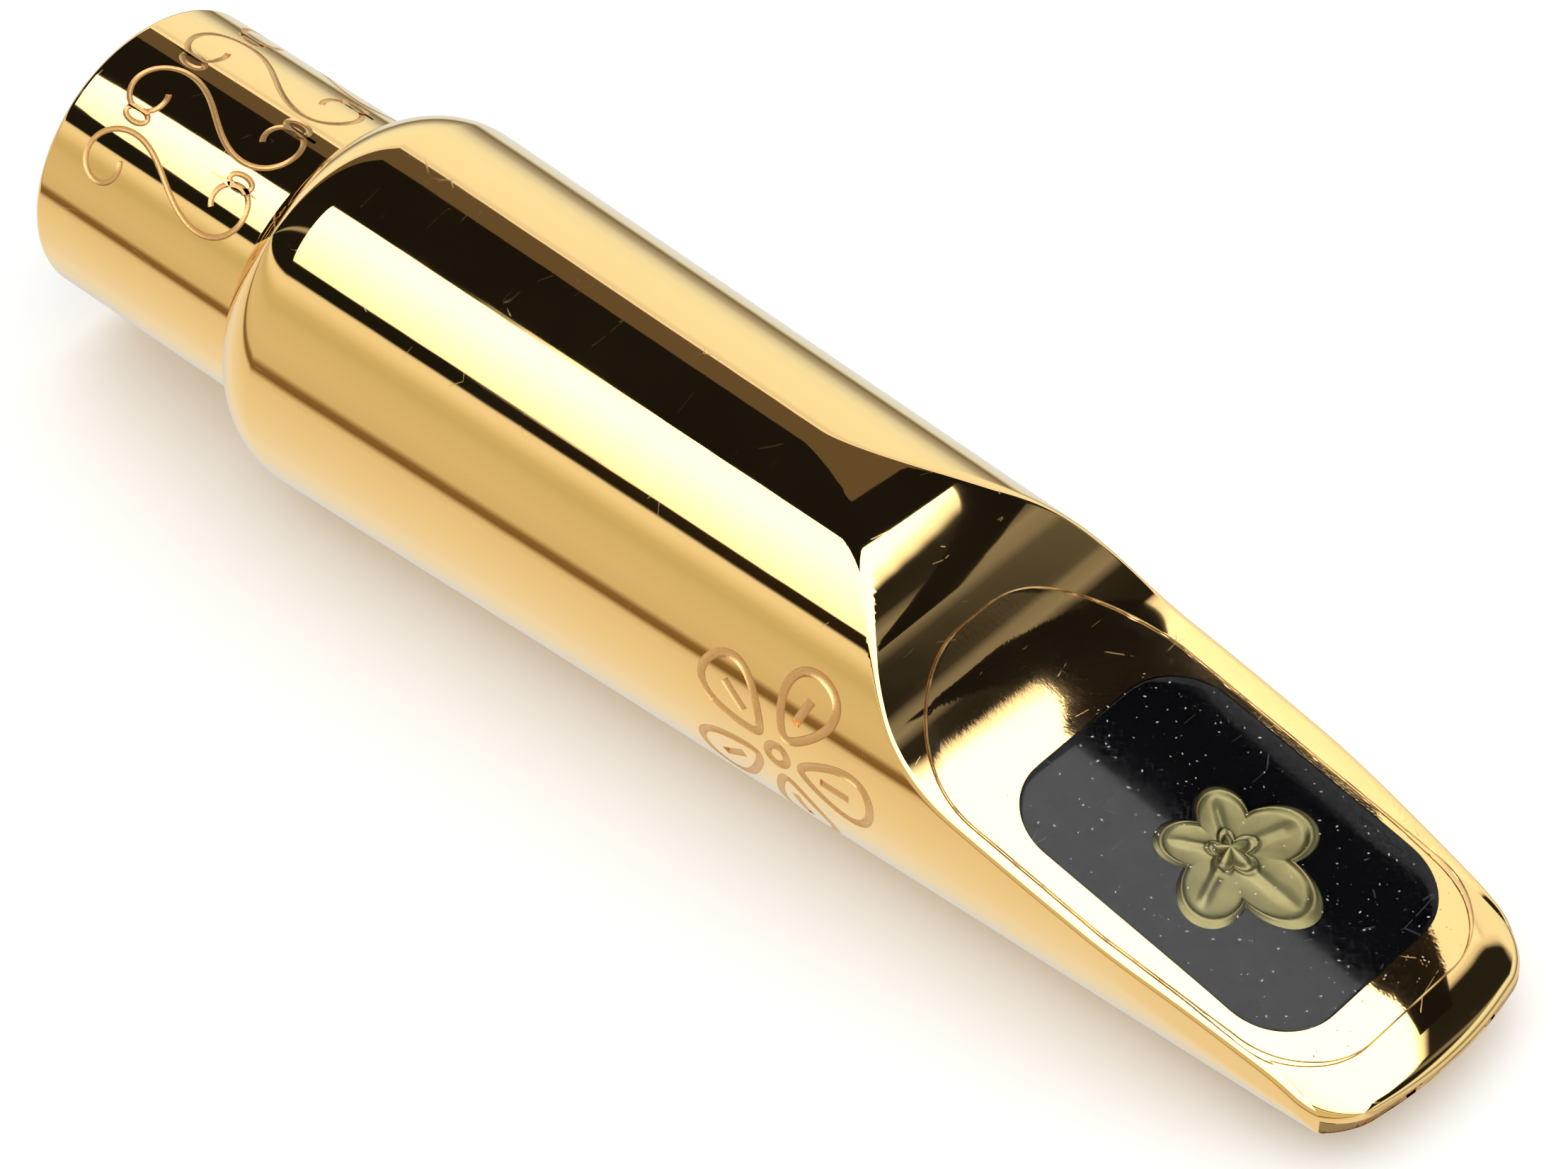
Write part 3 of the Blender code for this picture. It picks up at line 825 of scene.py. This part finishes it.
def satin_engraved_gold():
    """Graver's grooves under the plating: a fine chatter of 0.08 mm that leaves a warm satin."""
    made, tree, place = new_material("satin_engraved_gold")
    grain = noise(tree, place, 12000.0)
    surface(tree, {"Base Color": mixed(tree, grain, linear("#D09C5C"), linear("#F2CC92")),
                   "Normal": bumped(tree, grain, 0.5, 0.00002),
                   "Metallic": 1.0, "Roughness": 0.46})
    return made


def bored_gold():
    """Inside the bore and window: fine turning rings 0.25 mm apart, plated but not polished."""
    made, tree, place = new_material("machined_gold_plate")
    rings = add_node(tree, "ShaderNodeTexWave",
                     {"Vector": place, "Scale": 1000 / 0.25 / (2 * math.pi), "Distortion": 0.4},
                     bands_direction="X")
    surface(tree, {"Roughness": ranged(tree, noise(tree, place, 400.0), 0, 1, 0.16, 0.30),
                   "Normal": bumped(tree, rings.outputs["Fac"], 0.25, 0.00001),
                   "Metallic": 1.0, "Base Color": linear("#E0B36C")})
    return made


gold = polished_gold_plate()
print("materials so far:", len(bpy.data.materials))

# %% [markdown]
# ## Finish and shade the body
#
# Each face is given its finish by where it lies: on the rule's surface it is polished, just under it on the
# ornament it is engraved, and inside it is machined. The polished faces take their shading directions from
# the rule itself, so a straight reflection stays straight over any mesh.

# %% Finish the body
SKIN_DEPTH = 0.000012      # a face nearer the rule's surface than this is on the skin
SLIVER_AREA = 2e-8
RIM_FACE = 0.00002


def smooth_faces(obj, angle=30):
    obj.data.polygons.foreach_set("use_smooth", np.ones(len(obj.data.polygons), bool))
    obj.data.set_sharp_from_angle(angle=math.radians(angle))


def read(items, key, width=1, kind=float):
    """One value, or one row of values, for each item of a mesh."""
    values = np.empty(len(items) * width, kind)
    items.foreach_get(key, values)
    return values if width == 1 else values.reshape(-1, width)


def face_kinds(mesh, points):
    """Which faces are polished (0), engraved (1) and machined (2)."""
    centres = read(mesh.polygons, "center", 3)
    first = read(mesh.polygons, "loop_start", kind=int)
    corner_depth = depth(*points.T)[read(mesh.loops, "vertex_index", kind=int)]
    facing_out = (read(mesh.polygons, "normal", 3) * directions(centres)).sum(-1)
    on_skin = np.minimum.reduceat(corner_depth, first) > -SKIN_DEPTH
    polished = on_skin & ((facing_out > 0.6) | (read(mesh.polygons, "area") < SLIVER_AREA))
    polished |= (centres[:, 0] < RIM_FACE) & (facing_out > 0.6)
    reach = np.hypot(centres[:, 1], centres[:, 2])
    on_shank = (centres[:, 0] < SHANK_LENGTH) & (reach > SHANK_RADIUS - 0.0004)
    on_side = (centres[:, 0] > 0.049) & (centres[:, 0] < 0.064) & (centres[:, 1] < -0.007)
    engraved = ~polished & (on_shank | on_side) & (corner_depth[first] > -0.0005)
    engraved &= (np.abs(centres[:, 2]) < 0.009) | on_shank
    return np.where(polished, 0, np.where(engraved, 1, 2)), (centres[:, 0] < RIM_FACE) & polished


def finish_body(obj):
    mesh = obj.data
    points = read(mesh.vertices, "co", 3)
    kind, rim_face = face_kinds(mesh, points)
    mesh.materials.clear()
    for finish in (gold, satin_engraved_gold(), bored_gold()):
        mesh.materials.append(finish)
    mesh.polygons.foreach_set("material_index", kind.astype(np.int32))
    smooth_faces(obj, 32)

    sizes = read(mesh.polygons, "loop_total", kind=int)
    exact = directions(points)[read(mesh.loops, "vertex_index", kind=int)]
    exact[np.repeat(kind, sizes) != 0] = 0
    exact[np.repeat(rim_face, sizes)] = (-1, 0, 0)
    mesh.normals_split_custom_set(exact.tolist())
    print("polished, engraved, machined faces:", np.bincount(kind, minlength=3).tolist())


finish_body(body)
body.data.transform(BORE)
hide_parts("mouthpiece_body")
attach(body, "root")
print("body:", sum(len(p.vertices) - 2 for p in body.data.polygons), "triangles")

# %% [markdown]
# ## Bite plate
#
# The plate that the player's teeth rest on is a black moulded resin, set flush in a milled pocket and
# polished with the beak. Only a hairline shows round it. It could stay a flat slab, but its edge is eased
# and its face is very slightly crowned, which is what bends the light along one side.

# %% Build the plate
PLATE_EASE = 0.00010
PLATE_CROWN = 0.00004
RECESS_DEPTH = 0.00032


def crowned_plate():
    """Rings from the outline in to the middle: an eased edge and a face crowned by a few hundredths."""
    outline = np.array(rounded_outline(PLATE_LENGTH, PLATE_WIDTH, PLATE_CORNER, PLATE_CORNER))
    rings = [(1.0, -PLATE_THICKNESS), (1.0, -PLATE_EASE)]
    rings += [(1 - PLATE_EASE * (1 - math.cos(t)) / (PLATE_WIDTH / 2), -PLATE_EASE + PLATE_EASE * math.sin(t))
              for t in (0.4, 0.8, 1.2, math.pi / 2)]
    rings += [(share, PLATE_CROWN * (1 - share**2)) for share in np.linspace(0.985, 0.02, 26)]
    loops = [np.column_stack([outline * share, np.full(len(outline), z)]) for share, z in rings]
    return loft("bite_plate_resin", loops)


plate = crowned_plate()
petals = np.linspace(0, 2 * math.pi, 240, endpoint=False)
recess = petal_reach(petals) + HAIRLINE / 2
recess_outline = np.column_stack([recess * np.cos(petals), recess * np.sin(petals)])
cut(plate, prism("recess", recess_outline, -RECESS_DEPTH, 0.001))
smooth_faces(plate)
plate.data.transform(PLATE)
print("plate:", len(plate.data.polygons), "faces")

# %% Material: black resin


def black_resin():
    """Moulded and polished black resin: a clean gloss with faint wiping marks."""
    made, tree, place = new_material("polished_black_resin")
    rubs = hairlines(tree, place, 2.6, 0.02, 0.40, 8.3)
    rough = ranged(tree, noise(tree, place, 260.0, 4.0), 0.4, 0.7, 0.015, 0.05)
    surface(tree, {"Base Color": mixed(tree, rubs, linear("#08080A"), linear("#26282C")),
                   "Roughness": maths(tree, "MULTIPLY_ADD", rubs, 0.12, rough),
                   "IOR": 1.27})
    return made


plate.data.materials.clear()
plate.data.materials.append(black_resin())
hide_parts("bite_plate")
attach(plate, "root")

# %% [markdown]
# ## Badge
#
# The badge is a small struck medallion of pale brass pressed into the plate. A die gives it raised petal
# edges, a rib down each petal and a round boss. Its relief follows one rule, so it is a grid of rings and
# rays whose height is worked out, rather than sculpted.

# %% Strike the badge
BADGE_RELIEF = 0.00019
BADGE_BASE = 0.00028


def badge_height(share, turn):
    """Relief of the struck rosette, in metres, share being the distance out to the edge."""
    edge = np.exp(-((share - 0.90) / 0.055) ** 2)
    swing = np.mod(turn + math.pi / PETALS, 2 * math.pi / PETALS) - math.pi / PETALS
    rib = np.exp(-((swing * share) / 0.06) ** 2) * np.clip((0.84 - share) / 0.2, 0, 1)
    boss = np.sqrt(np.clip(1 - (share / 0.22) ** 2, 0, 1))
    ring = np.exp(-((share - 0.30) / 0.03) ** 2)
    dish = -0.5 * np.sin(math.pi * np.clip(share, 0, 1))
    return BADGE_RELIEF * (edge + 0.8 * rib + 1.2 * boss + 0.7 * ring + dish)


def struck_badge():
    rays = np.linspace(0, 2 * math.pi, 260, endpoint=False)
    edge = petal_reach(rays)
    shares = np.concatenate([np.linspace(0.004, 0.97, 64), [0.985, 1.0]])
    loops = []
    for share in shares:
        z = badge_height(share, rays) - 0.00003
        if share > 0.98:
            z = z - 0.00004 * (share - 0.97) / 0.03
        loops.append(np.stack([share * edge * np.cos(rays), share * edge * np.sin(rays), z], -1))
    base = loops[-1].copy()
    base[:, 2] = -BADGE_BASE
    return loft("struck_badge", [*loops, base])


badge = struck_badge()
smooth_faces(badge, 40)
badge.data.transform(PLATE)


def struck_brass():
    """Struck pale brass, with a fine grain and a grey-green tone that comes and goes."""
    made, tree, place = new_material("struck_pale_brass")
    grain = noise(tree, place, 9000.0)
    blotch = noise(tree, place, 700.0, 3.0)
    surface(tree, {"Base Color": mixed(tree, blotch, linear("#5E5838"), linear("#877F59")),
                   "Roughness": ranged(tree, grain, 0, 1, 0.30, 0.46),
                   "Normal": bumped(tree, grain, 0.3, 0.00001),
                   "Metallic": 1.0})
    return made


badge.data.materials.append(struck_brass())
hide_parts("badge")
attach(badge, "root")
print("badge:", len(badge.data.polygons), "faces")

# %% [markdown]
# ## Protective film
#
# A new mouthpiece wears a clear self-adhesive film over the plate. It follows the flat and the start of the
# scoop, and only its cut edge and a little trapped dust give it away. It is lofted across strips along the
# beak's own curve, so that it lies on the metal everywhere.

# %% Lay the film
FILM_THICKNESS = 0.00010
FILM_LIFT = 0.00006
FILM_FRONT = 0.0911
FILM_REAR = 0.0622
FILM_FAR_HALF = 0.0079
FILM_NEAR_HALF = 0.0090
FILM_REAR_ROUND = 0.0074
FILM_FRONT_ROUND = 0.0046
FILM_POINTS = 30           # across the film


def beak_point(x, lift):
    z = np.interp(x, BEAK_CURVE[:, 0], BEAK_CURVE[:, 1])
    slope = np.interp(x, BEAK_CURVE[:, 0], BEAK_CURVE[:, 2])
    return x + lift * np.sin(slope), z + lift * np.cos(slope)


def film_half(x, half):
    """Half width of the film at x, with its corners rounded: widely behind, less in front."""
    for radius, from_end in ((FILM_REAR_ROUND, x - FILM_REAR), (FILM_FRONT_ROUND, FILM_FRONT - x)):
        short = np.clip(radius - from_end, 0, radius)
        half = half - (radius - np.sqrt(radius**2 - short**2))
    return half


def film_runs(count):
    """Places along the film, closer together at its ends."""
    share = (1 - np.cos(np.linspace(0, math.pi, count))) / 2
    return FILM_REAR + (FILM_FRONT - FILM_REAR) * share


def film_sides(x):
    """How far the film reaches to the near side and to the far side."""
    narrowing = 0.0009 * np.clip(x - 0.078, 0, None) / 0.013
    return film_half(x, FILM_NEAR_HALF) - narrowing, film_half(x, FILM_FAR_HALF)


def laid_film():
    loops = []
    for x in film_runs(120):
        wobble = 0.00004 * math.sin(2100 * x) + 0.00003 * math.sin(5300 * x + 1)
        near, far = film_sides(x)
        across = np.linspace(-(near + wobble), far - wobble, FILM_POINTS)
        top_x, top_z = beak_point(x, FILM_LIFT + FILM_THICKNESS)
        low_x, low_z = beak_point(x, FILM_LIFT)
        top = np.stack([np.full(FILM_POINTS, top_x), across, np.full(FILM_POINTS, top_z)], -1)
        low = np.stack([np.full(FILM_POINTS, low_x), across[::-1], np.full(FILM_POINTS, low_z)], -1)
        top[[0, -1], 2] -= 0.3 * FILM_THICKNESS
        loops.append(np.concatenate([top, low]))
    return loft("clear_film", loops)


film = laid_film()
smooth_faces(film)
film.data.transform(BORE)


def clear_film():
    """Cast vinyl film, clear, with a slightly uneven gloss."""
    made, tree, place = new_material("cast_clear_film")
    surface(tree, {"Roughness": ranged(tree, noise(tree, place, 500.0, 3.0), 0.4, 0.7, 0.0, 0.03),
                   "Normal": bumped(tree, noise(tree, place, 3600.0, 3.0), 0.35, 0.00002),
                   "Base Color": (1, 1, 1, 1), "Transmission Weight": 1.0, "IOR": 1.12})
    return made


film.data.materials.append(clear_film())
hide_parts("protective_film")
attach(film, "root")
print("film:", len(film.data.polygons), "faces")

# %% [markdown]
# ## Cut edge of the film and dust
#
# The film's cut edge shows as a thin line, brown to pale gold. It is a path, so the nodes that drove the
# graver sweep it too. Dust on the film is scattered with Geometry Nodes from a fixed seed: each
# grain is a coarse flattened ball, turned and sized at random.

# %% Sweep the cut edge


def film_outline():
    x = film_runs(160)
    near, far = film_sides(x)
    side_x, side_z = beak_point(x, FILM_LIFT + FILM_THICKNESS / 2)
    there = np.stack([side_x, -near, side_z], -1)
    back_again = np.stack([side_x, far, side_z], -1)[::-1]
    return np.concatenate([there, back_again])


film_edge = strokes_object("film_cut_edge", [(film_outline(), True)])
grow(film_edge, GRAVER, nose_radius=0.000045, nose_sides=6)
smooth_faces(film_edge, 60)
film_edge.data.transform(BORE)


def edge_line_finish():
    """The cut edge of clear vinyl as a thin line, brown to pale gold by a soft pattern."""
    made, tree, place = new_material("soiled_vinyl_edge")
    # the edge line's colour runs from brown to pale gold by a soft pattern
    edge_tone = ranged(tree, noise(tree, place, 420.0, 3.0), 0.38, 0.62)
    surface(tree, {"Base Color": mixed(tree, edge_tone, linear("#6E4A1C"), linear("#D9B877")),
                   "Roughness": 0.45, "IOR": 1.4, "Alpha": 0.75})
    return made


film_edge.data.materials.clear()
film_edge.data.materials.append(edge_line_finish())
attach(film_edge, "root")
print("cut edge:", len(film_edge.data.polygons), "faces")

# %% Scatter the dust


def dust_nodes():
    """Scatters grains over a surface. Inputs: grains per square metre, grain size, seed and finish."""
    tree, given = growing_tree("dust", {"Grains per area": "Float", "Grain size": "Float", "Seed": "Int"})
    seed = given["Seed"]
    spots = add_node(tree, "GeometryNodeDistributePointsOnFaces",
                     {"Mesh": given["Geometry"], "Density": given["Grains per area"], "Seed": seed})
    grain = add_node(tree, "GeometryNodeMeshIcoSphere", {"Radius": given["Grain size"], "Subdivisions": 1})
    flat = add_node(tree, "GeometryNodeTransform",
                    {"Geometry": grain.outputs["Mesh"], "Scale": (1.0, 0.42, 0.25)})
    turn = add_node(tree, "FunctionNodeRandomValue",
                    {"Seed": seed, "Min": (-0.15, -0.15, 0), "Max": (0.15, 0.15, 2 * math.pi)},
                    data_type="FLOAT_VECTOR")
    size = add_node(tree, "FunctionNodeRandomValue", {"Seed": seed, 2: 0.25, 3: 1.0}, data_type="FLOAT")
    placed = add_node(tree, "GeometryNodeInstanceOnPoints",
                      {"Points": spots.outputs["Points"], "Instance": flat.outputs["Geometry"],
                       "Rotation": turn.outputs[0], "Scale": maths(tree, "POWER", size.outputs[1], 2.2)})
    give_out(tree, placed.outputs["Instances"], given["Finish"])
    return tree


def dust_bed(low_x, high_x, low_y, high_y, lift):
    """A strip of the beak's surface, lifted, for grains to lie on."""
    rows = []
    for x in np.linspace(low_x, high_x, 40):
        side_x, side_z = beak_point(x, lift)
        rows.append([(side_x, y, side_z) for y in np.linspace(low_y, high_y, 6)])
    points = [p for row in rows for p in row]
    faces = [(6 * r + c, 6 * r + c + 1, 6 * r + c + 7, 6 * r + c + 6) for r in range(39) for c in range(5)]
    return make_object("dust", points, faces)


def pale_dust():
    """House dust and lint: matt, white to straw."""
    made, tree, place = new_material("pale_lint_dust")
    patch = noise(tree, place, 2500.0)
    surface(tree, {"Base Color": mixed(tree, patch, linear("#8C877C"), linear("#F4EFE2")), "Roughness": 0.9})
    return made


DUST = dust_nodes()
dust_finish = pale_dust()
dust = dust_bed(0.0690, 0.0905, -0.0070, 0.0070, FILM_LIFT + FILM_THICKNESS + 0.00002)
grow(dust, DUST, grains_per_area=1.5e6, grain_size=0.00010, seed=7, finish=dust_finish)
dust.data.transform(BORE)
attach(dust, "root")
print("dust:", len(dust.data.polygons), "faces")

# %% [markdown]
# ## Studio
#
# Polished gold shows the room and little of itself. Here the room is a function of direction: bands that run
# along the mouthpiece, with one long softbox, black felt beside it to draw it sharply, and pale walls. Only
# mirrored rays see it. All other light comes from an even white dome, which gives the floor its soft shadow.
# Two cards over the barrel are near enough for their reflections to shift along it.

# %% Room seen in the gold
LOWER_BANDS = [(-180, "#DEC38C"), (-174, "#B29763"), (-168, "#967A46"), (-164, "#765B2A"), (-158, "#E1C89C"),
               (-140, "#DDC08C"), (-128, "#C4A272"), (-118, "#CDAE7E"), (-104, "#DDBF8E"), (-92, "#E8C893"),
               (-76, "#F0CD8D"), (-56, "#EEC885"), (-40, "#EBC37C"), (-28, "#E7BE79"), (-24, "#DDB46E"),
               (-20.5, "#7F5623"), (-16.5, "#875E28"), (-12.5, "#D5AC65"), (0, "#DCB36C")]
UPPER_BANDS = [(0, "#DCB36C"), (14, "#D5AE67"), (20, "#CDA75D"), (25, "#D3AC63"), (29, "#E6BE73"),
               (33, "#F4CC82"), (36.8, "#F3CB82"), (38.2, "#25190A"), (44.5, "#2D1E0A"), (45.0, 1.75),
               (60, 2.7), (72, 3.4), (82, 3.3), (100, 3.7), (123.6, 3.7), (124.6, 1.35), (134, 1.3),
               (136.6, "#EAC586"), (140, "#FFDC9A"), (152, "#FEEEAD"), (160, "#FEF0B1"), (172, "#F8DEA5"),
               (180, "#DEC38C")]
FRONT_BANDS = [(0.20, 1.3), (0.25, 0.9), (0.28, 0.02), (0.40, 0.02), (0.55, 0.03),
               (0.62, 0.30), (0.68, 0.25), (0.73, 0.02), (1.0, 0.012)]
BRIGHTEST = 6.0
FELT_LIGHT = 0.012
DOME_LIGHT = 1.25
GOLD_TINT = linear("#F2CB87")


def band_ramp(tree, bands, low, high, source):
    """A colour ramp over a range of angles or shares. A hex value is the band as the gold mirrors it."""
    ramp = add_node(tree, "ShaderNodeValToRGB", {"Fac": ranged(tree, source, low, high)})
    while len(ramp.color_ramp.elements) > 1:
        ramp.color_ramp.elements.remove(ramp.color_ramp.elements[0])
    for number, (place, value) in enumerate(bands):
        if isinstance(value, str):
            seen = linear(value)
            light = [seen[i] / GOLD_TINT[i] for i in range(3)]
            colour = [min(part, 1.1 * light[0]) / BRIGHTEST for part in light]
        else:
            colour = [value / BRIGHTEST] * 3
        share = (place - low) / (high - low)
        stop = ramp.color_ramp.elements[0] if number == 0 else ramp.color_ramp.elements.new(share)
        stop.position = share
        stop.color = (*colour, 1.0)
    return ramp.outputs["Color"]


def soft_edge(tree, source, start, end):
    """0 before start and 1 after end, with a smooth step between."""
    return ranged(tree, source, start, end, interpolation_type="SMOOTHSTEP")


def softbox_surround(tree, degrees, ahead):
    """1 on the black felt round the rounded far end of the long softbox, 0 elsewhere."""
    off_middle = ranged(tree, degrees, 64.0, 82.5, clamp=False)
    past_end = ranged(tree, ahead, -0.47, -0.59)
    outside = maths(tree, "ADD", maths(tree, "MULTIPLY", off_middle, off_middle),
                    maths(tree, "POWER", past_end, 2.5))
    sides = maths(tree, "MULTIPLY", soft_edge(tree, degrees, 37.5, 38.5), soft_edge(tree, degrees, 124, 123))
    rear = maths(tree, "MULTIPLY", sides, soft_edge(tree, ahead, -0.40, -0.44))
    return maths(tree, "MULTIPLY", soft_edge(tree, outside, 0.94, 1.02), rear)


def studio_room():
    world = bpy.data.worlds.new("studio")
    world.use_nodes = True
    tree = world.node_tree
    tree.nodes.clear()
    way = add_node(tree, "ShaderNodeTexCoord").outputs["Generated"]
    parts = add_node(tree, "ShaderNodeSeparateXYZ", {"Vector": way}).outputs
    ahead = parts["X"]
    turn = maths(tree, "ARCTAN2", parts["Z"], maths(tree, "MULTIPLY", parts["Y"], -1.0))
    degrees = maths(tree, "DEGREES", turn)
    lower = band_ramp(tree, LOWER_BANDS, -180, 0, degrees)
    upper = band_ramp(tree, UPPER_BANDS, 0, 180, degrees)
    bands = mixed(tree, soft_edge(tree, degrees, -0.5, 0.5), lower, upper)
    black = (FELT_LIGHT / BRIGHTEST, FELT_LIGHT / BRIGHTEST, FELT_LIGHT / BRIGHTEST, 1)
    bands = mixed(tree, softbox_surround(tree, degrees, ahead), bands, black)

    front = band_ramp(tree, FRONT_BANDS, 0.2, 1, ahead)
    high = maths(tree, "MULTIPLY", soft_edge(tree, ahead, 0.20, 0.24), soft_edge(tree, degrees, 124.8, 126))
    here = maths(tree, "MULTIPLY", high, soft_edge(tree, degrees, 160, 148))
    room = mixed(tree, here, bands, front)

    ray = add_node(tree, "ShaderNodeLightPath").outputs["Is Glossy Ray"]
    dome = add_node(tree, "ShaderNodeBackground", {"Color": (1, 1, 1, 1), "Strength": DOME_LIGHT})
    mirrored = add_node(tree, "ShaderNodeBackground", {"Color": room, "Strength": BRIGHTEST})
    both = add_node(tree, "ShaderNodeMixShader", {0: ray, 1: dome.outputs[0], 2: mirrored.outputs[0]})
    add_node(tree, "ShaderNodeOutputWorld", {"Surface": both.outputs[0]})
    scene.world = world


studio_room()
scene.view_settings.view_transform = "Standard"
print("room bands:", len(LOWER_BANDS) + len(UPPER_BANDS))

# %% Felt and card over the barrel
CARD_HEIGHT = 0.0500
BLACK_FELT = [(-3.0, -0.0081), (0.049, -0.0081), (0.054, 0.010), (0.0595, 0.0235), (0.0620, 0.0305),
              (0.0850, 0.0330), (0.1150, 0.0350), (0.1150, 0.0445), (0.0850, 0.0425), (0.0600, 0.0400),
              (0.0500, 0.0403), (0.0440, 0.0237), (-3.0, 0.0237)]
BROWN_CARD = [(-3.0, 0.0237), (0.0440, 0.0237), (0.0500, 0.0403), (-3.0, 0.0403)]


def studio_card(name, outline, colour):
    """A dull card that only mirrors see, hung over the barrel as a maker hangs black felt to draw edges."""
    card = prism(name, outline, CARD_HEIGHT, CARD_HEIGHT + 0.0005)
    card.data.transform(BORE)
    made, tree, _ = new_material(name)
    glow = add_node(tree, "ShaderNodeEmission", {"Color": linear(colour)})
    add_node(tree, "ShaderNodeOutputMaterial", {"Surface": glow.outputs[0]})
    card.data.materials.append(made)
    card.visible_camera = False
    card.visible_diffuse = False
    card.visible_shadow = False


studio_card("black_felt", BLACK_FELT, "#1C1B1C")
studio_card("brown_card", BROWN_CARD, "#6A5F52")

# %% Floor


def white_floor():
    made, tree, place = new_material("matt_white_board")
    grain = noise(tree, place, 600.0)
    surface(tree, {"Base Color": mixed(tree, grain, linear("#F9F9F8"), linear("#FCFCFB")),
                   "Roughness": 0.9, "Specular IOR Level": 0.0})
    return made


floor = make_object("floor", [(-2, -2, 0), (2, -2, 0), (2, 2, 0), (-2, 2, 0)], [(0, 1, 2, 3)])
floor.data.transform(Matrix.Translation((0, 0, -0.00002)))
floor.data.materials.append(white_floor())
floor.visible_glossy = False
